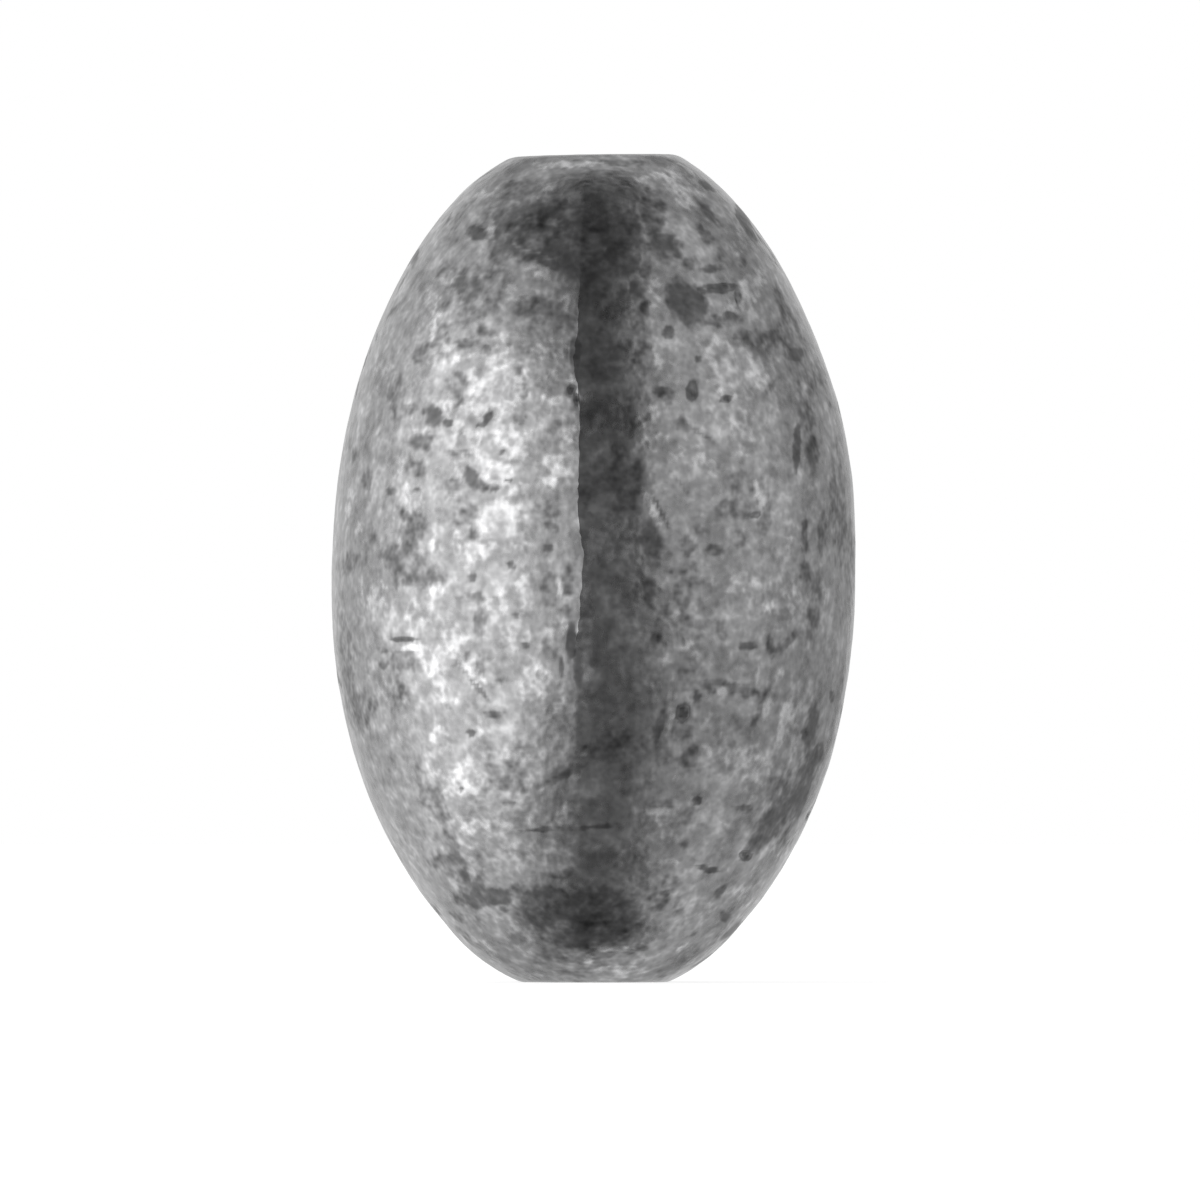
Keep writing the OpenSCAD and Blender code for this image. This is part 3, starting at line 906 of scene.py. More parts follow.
@dataclass(frozen=True)
class Oval:
    """The body's outline: two half ovals that end in flats, as in the CAD source."""

    body_r: float
    body_l: float
    lower_h: float = 11.25 * MM
    bottom_flat_r: float = 1.95 * MM
    top_flat_r: float = 2.30 * MM
    shortfall: float = 0.12 * MM

    @property
    def upper_h(self) -> float:
        """Height of the top end above the widest ring."""
        return self.body_l - self.lower_h

    @property
    def bottom_angle(self) -> float:
        """Angle of the oval at which the bottom flat cuts it."""
        return math.acos(self.bottom_flat_r / self.body_r)

    @property
    def top_angle(self) -> float:
        """Angle of the oval at which the top flat cuts it."""
        return math.acos(self.top_flat_r / self.body_r)

    @property
    def lower_oval_h(self) -> float:
        """Half height of the lower half oval, had it no flat."""
        return self.lower_h / math.sin(self.bottom_angle)

    @property
    def upper_oval_h(self) -> float:
        """Half height of the upper half oval, had it no flat."""
        return self.upper_h / math.sin(self.top_angle)

    def radius_at(self, height: float) -> float:
        """Radius of the body at a height.

        Args:
            height: Height above the bottom end.

        Returns:
            The oval's radius there.
        """
        rise = height - self.lower_h
        reach = self.upper_oval_h if rise > 0 else self.lower_oval_h
        return self.body_r * math.sqrt(max(0.0, 1 - (rise / reach) ** 2))


@dataclass(frozen=True)
class Strewing:
    """Marks strewn at random on the sides that the photograph doesn't show, sized in its pixels."""

    seed: int = 4
    tries: int = 330

    # Degrees from the front at which they start, pixels to each side of the axis, and rows
    from_front: float = 85.0
    aside: float = 30
    rows: tuple[float, float] = (170, 970)

    # How often a mark is a stain, a rub or a pit, and how weak and how strong it can be
    kinds: tuple[int, int, int] = (5, 8, 3)
    strengths: tuple[float, float] = (0.35, 0.9)

    # Widths of pits, and of the others, which are seldom wide
    pit_widths: tuple[float, float] = (10, 22)
    least_width: float = 12
    width_span: float = 55
    width_power: float = 2.2

    # Height as a share of the width, for pits less than for the others, and the least height
    slimness: tuple[float, float] = (0.25, 1.0)
    pit_slimness: float = 0.8
    least_height: float = 5.0

    def attempt(self, number: int, chance: random.Random, photo: Photograph,
                oval: Oval) -> Mark | None:
        """Try one mark at a random place.

        Args:
            number: Number of the try, for the mark's name.
            chance: Where the random numbers come from.
            photo: The photograph, in whose pixels the mark is placed.
            oval: The body's outline.

        Returns:
            The mark, or nothing, which comes the more often the narrower the body is there.
        """
        kind = chance.choices((Kind.STAIN_AND_SHADE, Kind.RUB_AND_HIGHLIGHT, Kind.PIT), self.kinds)[0]
        is_pit = kind is Kind.PIT
        row = chance.uniform(*self.rows)
        if chance.random() > oval.radius_at(photo.height_of(row)) / oval.body_r:
            return None
        if is_pit:
            wide = chance.uniform(*self.pit_widths)
        else:
            wide = self.least_width + self.width_span * chance.random() ** self.width_power
        slim = chance.uniform(*self.slimness) * (self.pit_slimness if is_pit else 1.0)
        column = photo.axis_column + chance.uniform(-self.aside, self.aside)
        tilt = chance.uniform(-90, 90)
        strength = chance.uniform(*self.strengths)
        turn = chance.uniform(self.from_front, 360 - self.from_front)
        high = max(self.least_height, wide * slim)
        return Mark(f"strewn_{number}", kind, column, row, wide, high, tilt, strength, turn)

    def marks(self, photo: Photograph, oval: Oval) -> list[Mark]:
        """Strew the marks.

        Args:
            photo: The photograph, in whose pixels they are placed.
            oval: The body's outline.

        Returns:
            The marks.
        """
        chance = random.Random(self.seed)
        tried = [self.attempt(number, chance, photo, oval) for number in range(self.tries)]
        return [mark for mark in tried if mark is not None]


@dataclass(frozen=True)
class CastSkin:
    """The cast skin's patterns in a material.

    Mottle and fleck are clouds from -0.5 to 0.5, and the others run from 0 to 1.
    """

    mottle: Term
    fleck: Term
    spread: Term
    speck: Term
    crystal: Term


@dataclass(frozen=True)
class LeadFinish:
    """Cast lead: a dull grey skin over soft bright metal, stained and rubbed, with painted light."""

    name: str = "cast_lead"
    tone: float = 0.290
    roughness: float = 0.29
    metallic: float = 0.94
    bump_depth: float = 0.013 * MM

    # Sizes of the skin's clouds and cells, of the oxide's patches and of the torn face's ridges
    broad_size: float = 2.6 * MM
    mottle_size: float = 0.95 * MM
    fleck_size: float = 0.30 * MM
    speck_size: float = 0.36 * MM
    crystal_size: float = 0.24 * MM
    cell_bend_size: float = 0.40 * MM
    cell_bend: float = 0.24 * MM
    oxide_size: float = 1.7 * MM
    torn_size: float = 0.5 * MM

    # How strongly the skin's patterns change the tone
    ground: float = 0.87
    broad_gain: float = 0.24
    mottle_gain: float = 1.80
    fleck_gain: float = 1.05
    crystal_gain: float = 0.12
    speck_loss: float = 0.13

    # What rubbing and painted highlights add to the tone, and what share of it stains, painted
    # shade and dirt take away
    bare_and_highlight_gain: float = 0.17
    crest_gain: float = 0.10
    stain_and_shade_loss: float = 0.18
    dirt_loss: float = 0.40

    # Share of the tone that the oxide's film takes away, its least and most, and what thick adds
    film: float = 0.52
    film_least: float = 0.10
    film_most: float = 0.85
    film_thick: float = 0.30

    # Share of the tone that the gate's fresh face has, and that the bore has
    fresh_share: float = 0.62
    inner_share: float = 0.55

    # Depths along Y over which strewn oxide and the parting line's wear set in towards the back
    oxide_depths: tuple[float, float] = (-5.0 * MM, 1.0 * MM)
    wear_depths: tuple[float, float] = (-2.0 * MM, 2.0 * MM)

    # Distances from the parting line at which its rubbed crest ends, and dirt starts and ends
    crest_ends: tuple[float, float] = (0.03 * MM, 0.10 * MM)
    dirt_starts: tuple[float, float] = (0.05 * MM, 0.12 * MM)
    dirt_ends: tuple[float, float] = (0.14 * MM, 0.34 * MM)

    def skin(self, tree: Tree, place: Term) -> CastSkin:
        """Make the patterns of the cast skin.

        Args:
            tree: The material's tree.
            place: Each point's place on the object.

        Returns:
            The patterns: clouds of two sizes, and specks and crystals with uneven edges.
        """
        mottle = tree.grain(place, self.mottle_size, 3.0, 0.60, 0.0, 3.0) - 0.5
        fleck = tree.grain(place, self.fleck_size, 1.0, 0.6, 0.0, 11.0) - 0.5
        spread = tree.smooth(fleck * 0.5 + mottle * 0.5, -0.14, 0.14)
        bent = tree.strayed(place, self.cell_bend_size, self.cell_bend)
        cells = tree.cells(bent, self.speck_size)
        lot, _, _ = tree.parts(tree.term(cells, "Color"))
        speck = (1.0 - tree.smooth(tree.term(cells, "Distance"), 0.06, 0.46)) * (
            tree.smooth(lot, 0.45, 0.75))
        crystal, _, _ = tree.parts(tree.term(tree.cells(bent, self.crystal_size), "Color"))
        return CastSkin(mottle, fleck, spread, speck, crystal)

    def cover(self, tree: Tree, place: Term, depth: Term) -> Term:
        """Oxide and painted shade on the skin from the marks, and oxide patches on the other sides.

        Args:
            tree: The material's tree.
            place: Each point's place on the object.
            depth: How far back it lies.

        Returns:
            The cover, from 0 for none to 1, and a little more in pits and thin stains.
        """
        patches = tree.grain(place, self.oxide_size, 3.0, 0.6, 0.5, 21.0)
        strewn = tree.smooth(patches, 0.54, 0.68) * tree.smooth(depth, *self.oxide_depths)
        return tree.math("MAXIMUM", tree.attribute("stain"), 0.85 * strewn)

    def line_wear(self, tree: Tree, spread: Term, depth: Term) -> tuple[Term, Term]:
        """Wear of the parting line on the back: its crest is rubbed, and dirt lies beside it.

        Args:
            tree: The material's tree.
            spread: The pattern that breaks both up.
            depth: How far back each point lies.

        Returns:
            The rubbed crest, and the dirt, each from 0 to 1.
        """
        from_line = tree.math("ABSOLUTE", tree.attribute("seam"))
        behind = tree.smooth(depth, *self.wear_depths)
        crest = (1.0 - tree.smooth(from_line, *self.crest_ends)) * spread * behind
        dirt = tree.smooth(from_line, *self.dirt_starts) * (
            1.0 - tree.smooth(from_line, *self.dirt_ends)) * (1.0 - spread) * behind
        return crest, dirt

    def with_gate(self, tree: Tree, place: Term, tone: Term, fleck: Term) -> Term:
        """The tone where the gate was nipped off: fresh, torn across and dark at its rim.

        Args:
            tree: The material's tree.
            place: Each point's place on the object.
            tone: The tone of the skin.
            fleck: The skin's finest clouds.

        Returns:
            The tone with the gate's face in it.
        """
        nip = tree.attribute("nip")
        face = tree.smooth(nip, 0.02, 0.14)
        torn = tree.grain(tree.vector("MULTIPLY", place, (1.0, 1.0, 4.0)), self.torn_size, 3.0, 0.6)
        fresh = self.fresh_share * self.tone * (0.55 + 1.1 * torn) * (1.0 + 0.8 * fleck) * (
            0.55 + 0.45 * tree.smooth(nip, 0.12, 0.40))
        return tone + face * (fresh - tone)

    def material(self) -> bpy.types.Material:
        """Build the lead's material.

        Returns:
            The material, which reads Object coordinates and the body's own attributes.
        """
        made = bpy.data.materials.new(self.name)
        made.use_nodes = True
        tree = Tree(made.node_tree)
        place = tree.term(tree.node("ShaderNodeTexCoord"), "Object")
        _, depth, _ = tree.parts(place)
        skin = self.skin(tree, place)
        oxide_and_shade = self.cover(tree, place, depth)
        crest, dirt = self.line_wear(tree, skin.spread, depth)

        # Where oxide and painted shade darken the skin, and where bare metal and painted
        # highlights brighten it, both with ragged edges
        rubbed_and_highlit = tree.attribute("rub")
        dark = tree.smooth(
            1.35 * oxide_and_shade - 0.80 * rubbed_and_highlit - 0.75 * skin.mottle - 0.60 * skin.fleck, 0.18, 1.00)
        bare_and_highlit = tree.smooth(rubbed_and_highlit - 0.60 * (1.0 - skin.spread), -0.20, 0.75)

        # The skin shows less where oxide and painted shade cover it, except under the thickest
        thickest = tree.smooth(oxide_and_shade, 0.86, 1.0)
        calm = 1.0 - 0.58 * tree.smooth(oxide_and_shade, 0.25, 0.70) * (1.0 - 0.70 * thickest)
        mottle = skin.mottle * calm
        fleck = skin.fleck * calm

        # The skin is mottled at several sizes, and the oxide and painted shade lie on it as an
        # uneven film
        broad = tree.grain(place, self.broad_size, 1.0)
        tone = self.tone * (self.ground + self.broad_gain * broad)
        tone = tone + self.bare_and_highlight_gain * bare_and_highlit + self.crest_gain * crest
        tone = tone * tree.math("EXPONENT", self.mottle_gain * mottle + self.fleck_gain * fleck)
        tone = tone * (1.0 - self.crystal_gain / 2 + self.crystal_gain * skin.crystal)
        tone = tone * (1.0 - self.speck_loss * calm * skin.speck)
        film = self.film - 1.1 * mottle - 0.8 * fleck + (
            self.film_thick * tree.smooth(oxide_and_shade, 1.0, 1.5))
        film = tree.math("MAXIMUM", film, self.film_least)
        film = tree.math("MINIMUM", film, self.film_most)
        tone = tone * (1.0 - dark * film) * (1.0 - self.stain_and_shade_loss * oxide_and_shade)
        tone = tone * (1.0 - self.dirt_loss * dirt)
        tone = self.with_gate(tree, place, tone, fleck)

        # The bore is duller than the outside, and the flats lie between the two
        tone = tone * (self.inner_share + (1.0 - self.inner_share) * tree.attribute("outside"))
        colour = tree.joined(tone, tone, tone * 1.012)

        rough = self.roughness + 0.20 * mottle + 0.12 * dark - 0.06 * bare_and_highlit
        height = fleck + 0.6 * mottle - 0.28 * calm * skin.speck
        bump = tree.node("ShaderNodeBump", inputs={
            "Strength": 1.0, "Distance": self.bump_depth, "Height": height})
        shader = tree.node("ShaderNodeBsdfPrincipled", inputs={
            "Base Color": colour, "Metallic": self.metallic, "Roughness": rough,
            "Normal": tree.term(bump)})
        tree.node("ShaderNodeOutputMaterial", inputs={"Surface": tree.term(shader)})
        return made


@dataclass(frozen=True)
class BrassFinish:
    """Drawn brass tube, tarnished, with lips that the line keeps bright."""

    name: str = "liner_brass"
    roughness: float = 0.28
    worn_depth: float = 0.35 * MM

    # Colour of the bright brass, and how much of it the tarnish takes away
    bright: tuple[float, float, float] = (0.74, 0.56, 0.30)
    tarnish: tuple[float, float, float] = (0.46, 0.37, 0.20)

    # Sizes of the tarnish's clouds, of the fine grain, and of the lines left by drawing
    cloud_size: float = 0.5 * MM
    fine_size: float = 0.08 * MM
    drawn_size: float = 0.05 * MM
    drawn_stretch: float = 0.04
    bump_strength: float = 0.6
    bump_depth: float = 0.006 * MM

    def material(self, length: float) -> bpy.types.Material:
        """Build the brass's material.

        Args:
            length: Height of the body's top end, near which the lips are worn.

        Returns:
            The material, which reads Object coordinates.
        """
        made = bpy.data.materials.new(self.name)
        made.use_nodes = True
        tree = Tree(made.node_tree)
        place = tree.term(tree.node("ShaderNodeTexCoord"), "Object")
        _, _, height = tree.parts(place)
        from_middle = tree.math("ABSOLUTE", height - length / 2)
        lip = tree.smooth(from_middle, length / 2 - self.worn_depth, length / 2)
        cloud = tree.grain(place, self.cloud_size, 4.0, 0.6)
        fine = tree.grain(place, self.fine_size, 2.0)
        along = tree.vector("MULTIPLY", place, (1.0, 1.0, self.drawn_stretch))
        drawn = tree.grain(along, self.drawn_size, 2.0)
        dull = tree.smooth(cloud, 0.32, 0.60) * (1.0 - 0.60 * lip)
        colour = tree.joined(*(full - lost * dull for full, lost in zip(self.bright, self.tarnish)))
        rough = self.roughness + 0.25 * dull + 0.08 * fine
        bump = tree.node("ShaderNodeBump", inputs={
            "Strength": self.bump_strength, "Distance": self.bump_depth, "Height": fine + drawn})
        shader = tree.node("ShaderNodeBsdfPrincipled", inputs={
            "Base Color": colour, "Metallic": 1.0, "Roughness": rough, "Normal": tree.term(bump)})
        tree.node("ShaderNodeOutputMaterial", inputs={"Surface": tree.term(shader)})
        return made


def point_values(items: bpy.types.bpy_prop_collection, name: str, count: int) -> np.ndarray:
    """Read one property of all the points of a mesh.

    Args:
        items: The points, or one of the attributes that they keep.
        name: Name of the property.
        count: How many numbers there are.

    Returns:
        The numbers, one after the other.
    """
    values = np.empty(count, np.float32)
    items.foreach_get(name, values)
    return values.astype(float)


def plain_mesh(source: bpy.types.Object, name: str) -> bpy.types.Object:
    """Turn an object with modifiers into a plain mesh object at the origin.

    Args:
        source: The object whose modifiers are evaluated, and which is deleted.
        name: The new object's name.

    Returns:
        The new object, in the scene.
    """
    graph = bpy.context.evaluated_depsgraph_get()
    mesh = bpy.data.meshes.new_from_object(source.evaluated_get(graph))
    bpy.data.objects.remove(source)
    mesh.name = name
    made = bpy.data.objects.new(name, mesh)
    bpy.context.scene.collection.objects.link(made)
    return made


class LatheTree:
    """A Geometry Nodes tree that wraps a grid round the Z axis into one closed skin.

    The grid's rows run round the section of the piece in stretches. Each stretch has its own
    named count of rows, and its share of the way, from 0 to 1, shapes the section.
    """

    # Distance within which points are joined where the grid's edges meet
    WELD = 0.0005 * MM

    def __init__(self, name: str, sizes: dict[str, Number], stretches: Sequence[str]) -> None:
        """Make the tree's interface and its grid.

        Args:
            name: Name of the tree.
            sizes: Value of each input, by name. A whole number makes a whole-number input.
            stretches: Names of the inputs that count the rows, in the order in which they run.
        """
        group = bpy.data.node_groups.new(name, "GeometryNodeTree")
        self.sizes = sizes
        self.tree = Tree(group)
        group.interface.new_socket("Geometry", in_out="OUTPUT", socket_type="NodeSocketGeometry")
        self.identifiers: dict[str, str] = {}
        for label, value in sizes.items():
            kind = "NodeSocketInt" if isinstance(value, int) else "NodeSocketFloat"
            socket = group.interface.new_socket(label, in_out="INPUT", socket_type=kind)
            self.identifiers[label] = socket.identifier
        self.entry = self.tree.node("NodeGroupInput")

        tree = self.tree
        rows: Value = 0.0
        for label in stretches:
            rows = self.size(label) + rows
        grid = tree.node("GeometryNodeMeshGrid", inputs={
            "Size X": 1.0, "Size Y": 1.0, "Vertices X": self.size("Columns") + 1,
            "Vertices Y": rows + 1})
        self.geometry = tree.term(grid, "Mesh")
        across, along, _ = tree.parts(tree.term(tree.node("GeometryNodeInputPosition")))
        self.turn = (across + 0.5) * math.tau
        self.row = (along + 0.5) * rows
        self.rows = rows
        self.shares: list[Term] = []
        first: Value = 0.0
        for label in stretches:
            self.shares.append(tree.clamp01((self.row - first) / self.size(label)))
            first = self.size(label) + first

    def size(self, label: str) -> Term:
        """The named input, as a term."""
        return self.tree.term(self.entry, label)

    def store(self, name: str, value: Term) -> None:
        """Keep a value on the grid's points.

        Args:
            name: Name under which it is kept.
            value: The value.
        """
        self.geometry = self.tree.term(self.tree.node(
            "GeometryNodeStoreNamedAttribute", {"data_type": "FLOAT"},
            {"Geometry": self.geometry, "Name": name, "Value": value}))

    def stored(self, name: str) -> Term:
        """A value that was kept on the points under a name."""
        return self.tree.term(self.tree.node(
            "GeometryNodeInputNamedAttribute", {"data_type": "FLOAT"}, {"Name": name}), "Attribute")

    def place(self, position: Term) -> None:
        """Move every point to its place."""
        self.geometry = self.tree.term(self.tree.node(
            "GeometryNodeSetPosition", inputs={"Geometry": self.geometry, "Position": position}))

    def wrap(self, radius: Term, heading: Term, height: Term) -> None:
        """Wrap the grid round the axis and close its seams.

        Args:
            radius: Each point's distance from the axis.
            heading: Its angle round the axis.
            height: Its height.
        """
        tree = self.tree
        self.place(tree.joined(
            radius * tree.math("COSINE", heading), radius * tree.math("SINE", heading), height))
        self.geometry = tree.term(tree.node("GeometryNodeMergeByDistance", inputs={
            "Geometry": self.geometry, "Distance": self.WELD}))

    def build(self, name: str, material: bpy.types.Material,
              sharp: Term | None = None) -> bpy.types.Object:
        """End the tree, and run it on an empty mesh.

        Args:
            name: Name of the object.
            material: The piece's material.
            sharp: Which edges are left sharp.

        Returns:
            The plain mesh object that comes out.
        """
        tree = self.tree
        real = tree.term(tree.node("GeometryNodeRealizeInstances", inputs={0: self.geometry}))
        shaded = tree.term(tree.node("GeometryNodeSetShadeSmooth", inputs={0: real}))
        if sharp is not None:
            shaded = tree.term(tree.node("GeometryNodeSetShadeSmooth", {"domain": "EDGE"}, {
                "Geometry": shaded, "Selection": sharp, "Shade Smooth": False}))
        dressed = tree.node("GeometryNodeSetMaterial", inputs={0: shaded, "Material": material})
        tree.node("NodeGroupOutput", inputs={0: tree.term(dressed)})
        holder = bpy.data.objects.new(name + "_form", bpy.data.meshes.new(name + "_form"))
        bpy.context.scene.collection.objects.link(holder)
        modifier = holder.modifiers.new(name, "NODES")
        modifier.node_group = tree.nodes
        for label, value in self.sizes.items():
            modifier[self.identifiers[label]] = value
        return plain_mesh(holder, name)


@dataclass
class LeadBody:
    """The lead casting: its form, its casting marks, its wear and its finish."""

    measures: Measures
    oval: Oval
    photo: Photograph
    finish: LeadFinish = field(default_factory=LeadFinish)
    strewing: Strewing = field(default_factory=Strewing)

    # Columns and rows of the form's grid, and how much its columns crowd
    columns: int = 330
    outer_rows: int = 258
    flat_rows: int = 8
    seat_rows: int = 5
    bore_rows: int = 8
    crowding: float = 0.25
    front_crowding: float = 0.30

    # The casting's own sizes, and how far its skin lies inside the frame
    parting_turn: float = math.radians(3.6)
    keel_h: float = 0.064 * MM
    keel_w: float = 1.3 * MM
    gate_depth: float = 0.12 * MM
    liner_gap: float = 0.02 * MM
    skin: float = 0.010 * MM

    # Depths of the skin's swells, dents, grain, blow holes, and stains and painted shade
    swell_depth: float = 0.030 * MM
    dent_depth: float = 0.020 * MM
    grain_depth: float = 0.016 * MM
    pit_depth: float = 0.026 * MM
    stain_depth: float = 0.004 * MM

    # Reach of a pit's bowl, where 1 is its edge, and how much more oxide it holds than a stain
    bowl_reach: float = 1.4
    pit_cover: float = 1.4

    # Sizes of the patterns that they follow, and of the one that makes the marks' edges ragged
    swell_size: float = 3.4 * MM
    dent_size: float = 0.95 * MM
    grain_size: float = 0.45 * MM
    hole_spacing: float = 1.5 * MM
    stray_size: float = 0.75 * MM

    # A blow hole's bottom and rim, as shares of the spacing, and the share of places without one
    hole_edges: tuple[float, float] = (0.02, 0.16)
    holes_left_out: float = 0.72

    # Rows over which corners are softened: up and in from the foot's, and to both sides of the top's
    foot_rows: float = 6.0
    foot_flat_rows: float = 3.0
    top_rows: float = 7.0
    top_softness: float = 0.9
    soft_rounds: int = 8

    # The nipped gate: the cut's depth that counts in full, and the ridges torn into its face
    nip_full: float = 0.10 * MM
    torn_size: float = 1.1 * MM
    torn_least: float = 0.02 * MM
    torn_depth: float = 0.45 * MM

    # How ragged the marks' edges are: a measure in pixels, and the most of it on a small mark
    ragged_px: float = 28.0
    ragged_most: float = 1.5

    # How far each side of the front's outline swells past the oval, at shares of the height
    right_swells: tuple[tuple[float, float], ...] = (
        (0.0, 0.13 * MM), (0.03, 0.09 * MM), (0.075, 0.0), (0.17, 0.02 * MM), (0.27, 0.055 * MM),
        (0.39, 0.01 * MM), (0.50, 0.0), (0.56, 0.045 * MM), (0.61, 0.10 * MM),
        (0.70, 0.10 * MM), (0.76, 0.03 * MM), (0.82, 0.0), (1.0, 0.0))
    left_swells: tuple[tuple[float, float], ...] = (
        (0.0, 0.08 * MM), (0.03, 0.11 * MM), (0.075, 0.0), (0.15, 0.01 * MM), (0.22, 0.055 * MM),
        (0.37, 0.065 * MM), (0.44, 0.03 * MM), (0.52, 0.0), (0.75, -0.01 * MM), (0.85, -0.04 * MM),
        (0.95, -0.03 * MM), (1.0, 0.0))
    swell_span: float = 0.4 * MM

    # How far the top end leans to the left, and how far down from it the lean reaches
    top_lean: float = 0.08 * MM
    lean_h: float = 1.1 * MM

    # Strength of the keel along the parting line, at shares of the height
    keel_strengths: tuple[tuple[float, float], ...] = (
        (0.0, 0.12), (0.20, 0.15), (0.30, 0.30), (0.40, 0.55), (0.46, 0.95), (0.82, 1.0),
        (0.86, 0.40), (1.0, 0.20))

    # Places on the parting line, read in the photograph as columns and rows
    line_columns: tuple[float, ...] = (
        580, 577, 575, 577, 580, 579, 578, 580, 584, 581, 579, 576, 576, 580, 577, 578)
    line_rows: tuple[float, ...] = (
        290, 340, 362, 383, 408, 460, 505, 530, 554, 585, 625, 650, 672, 702, 730, 760)

    # Height on its curve of a radian of the line's wander, and how fast it fades to the sides
    wander_scale: float = 5.0
    wander_fade: float = 1.5

    # The keel's crest: its half width as a share of the radius, and the strength that is sharp
    crest_half: float = 0.0005
    crest_sharp: float = 0.6

    # How ragged the line is, as an angle in radians, and the size of its raggedness
    line_ragged: float = 0.03
    line_ragged_size: float = 0.36 * MM

    def line_wander(self) -> list[tuple[float, float]]:
        """How far the parting line strays from its plane, as points for a curve.

        Returns:
            For each height as a share of the body's, the angle by which the line strays to the
            right, where 0.5 is none and 1 is a tenth of a radian.
        """
        photo, oval = self.photo, self.oval
        knots = [(1.0, 0.5)]
        for column, row in zip(self.line_columns, self.line_rows):
            height = photo.height_of(row)
            seen = math.asin((column - photo.axis_column) * photo.pixel / oval.radius_at(height))
            knots.append((height / oval.body_l, 0.5 + self.wander_scale * (seen + self.parting_turn)))
        knots.append((0.15, 0.5))
        knots.append((0.0, 0.5))
        return sorted(knots)

    def swollen(self, tree: Tree, share_up: Term, swells: Sequence[tuple[float, float]]) -> Term:
        """How far one side of the outline swells past the oval.

        Args:
            tree: The form's tree.
            share_up: Height as a share of the body's.
            swells: The swells in metres, at shares of the height.

        Returns:
            The swell in metres.
        """
        points = [(share, 0.5 + swell / self.swell_span) for share, swell in swells]
        return (tree.curve(share_up, points) - 0.5) * self.swell_span

    def lathe(self) -> LatheTree:
        """Start the form's tree.

        The rows run up the oval, across the top flat, down the bore and back across the bottom
        flat.

        Returns:
            The tree, with the body's sizes as its named inputs.
        """
        oval, sizes = self.oval, self.measures
        stretches = (
            "Outer Rows", "Top Rows", "Top Seat Rows", "Bore Rows", "Bottom Seat Rows", "Bottom Rows")
        return LatheTree("lead_body_form", {
            "Columns": self.columns, "Outer Rows": self.outer_rows, "Top Rows": self.flat_rows,
            "Top Seat Rows": self.seat_rows, "Bore Rows": self.bore_rows,
            "Bottom Seat Rows": self.seat_rows, "Bottom Rows": self.flat_rows,
            "Body Radius": oval.body_r, "Lower Height": oval.lower_h, "Body Length": oval.body_l,
            "Lower Oval": oval.lower_oval_h, "Upper Oval": oval.upper_oval_h,
            "Bottom Angle": oval.bottom_angle, "Top Angle": oval.top_angle,
            "Bottom Flat": oval.bottom_flat_r, "Top Flat": oval.top_flat_r,
            "Cast Bore": sizes.liner_r + self.liner_gap, "Seat Height": sizes.lip_z + sizes.flare,
            "Shortfall": oval.shortfall, "Keel Height": self.keel_h, "Keel Width": self.keel_w,
            "Gate Depth": self.gate_depth, "Parting Turn": self.parting_turn,
            "Crowding": self.crowding, "Front Crowding": self.front_crowding, "Skin": self.skin,
            "Swell": self.swell_depth, "Dents": self.dent_depth, "Grain": self.grain_depth,
        }, stretches)

    @staticmethod
    def outline(form: LatheTree) -> tuple[Term, Term, Term]:
        """The section along the rows, as if the body were quite round.

        Args:
            form: The form's tree.

        Returns:
            The radius, the height, and 1 on the oval's rows, falling to 0 across the flats.
        """
        tree, size = form.tree, form.size
        on_oval, on_top, top_seat, in_bore, low_seat, on_bottom = form.shares
        length, seat_h = size("Body Length"), size("Seat Height")
        mouth = size("Cast Bore") + seat_h
        angle = on_oval * (size("Bottom Angle") + size("Top Angle")) - size("Bottom Angle")
        above = tree.math("GREATER_THAN", angle, 0.0)
        reach = size("Lower Oval") + above * (size("Upper Oval") - size("Lower Oval"))
        radius = (size("Body Radius") * tree.math("COSINE", angle)
                  + on_top * (mouth - size("Top Flat")) - seat_h * top_seat
                  + seat_h * low_seat + on_bottom * (size("Bottom Flat") - mouth))
        height = (size("Lower Height") + reach * tree.math("SINE", angle)
                  - seat_h * top_seat - in_bore * (length - 2 * seat_h) - seat_h * low_seat)
        return radius, height, 1.0 - on_top + on_bottom

    def form(self) -> bpy.types.Object:
        """Build the body's form with Geometry Nodes.

        The section is two half rounds that meet at a blunt edge, the parting line.

        Returns:
            The body as one closed mesh.
        """
        form = self.lathe()
        tree, size = form.tree, form.size
        radius, height, outside = self.outline(form)
        share_up = height / size("Body Length")
        front_turn = math.pi / 2 - size("Parting Turn")

        # The columns crowd towards the parting line, where the keel needs them, and to the front
        phi = (form.turn - 0.5 * size("Crowding") * tree.math("SINE", 2 * form.turn)
               + size("Front Crowding") * tree.math("SINE", form.turn))
        sine, cosine = tree.math("SINE", phi), tree.math("COSINE", phi)
        from_plane = tree.math("ABSOLUTE", sine)
        short = size("Shortfall") * outside
        grown = radius + short
        section = tree.math("SQRT", grown * grown - short * short * cosine * cosine)
        section = section - short * from_plane

        # The keel is strong along the belly and fades towards both ends
        strength = tree.curve(share_up, self.keel_strengths)
        from_line = tree.math("ARCSINE", tree.clamp01(from_plane)) * radius / size("Keel Width")
        fade = tree.clamp01(1.0 - from_line)
        section = section + size("Keel Height") * strength * outside * fade * fade
        section = section - size("Skin") * outside

        # The gate's stub was nipped off flat at the back end of the parting plane
        edge = size("Body Radius") - size("Gate Depth") + size("Shortfall")
        over = tree.math("MAXIMUM", section * cosine - edge, 0.0)

        # Seen from the front, the outline isn't quite the oval's
        side = tree.math("COSINE", phi + front_turn)
        section = section + outside * (
            tree.clamp01(side) * self.swollen(tree, share_up, self.right_swells)
            + tree.clamp01(-side) * self.swollen(tree, share_up, self.left_swells))

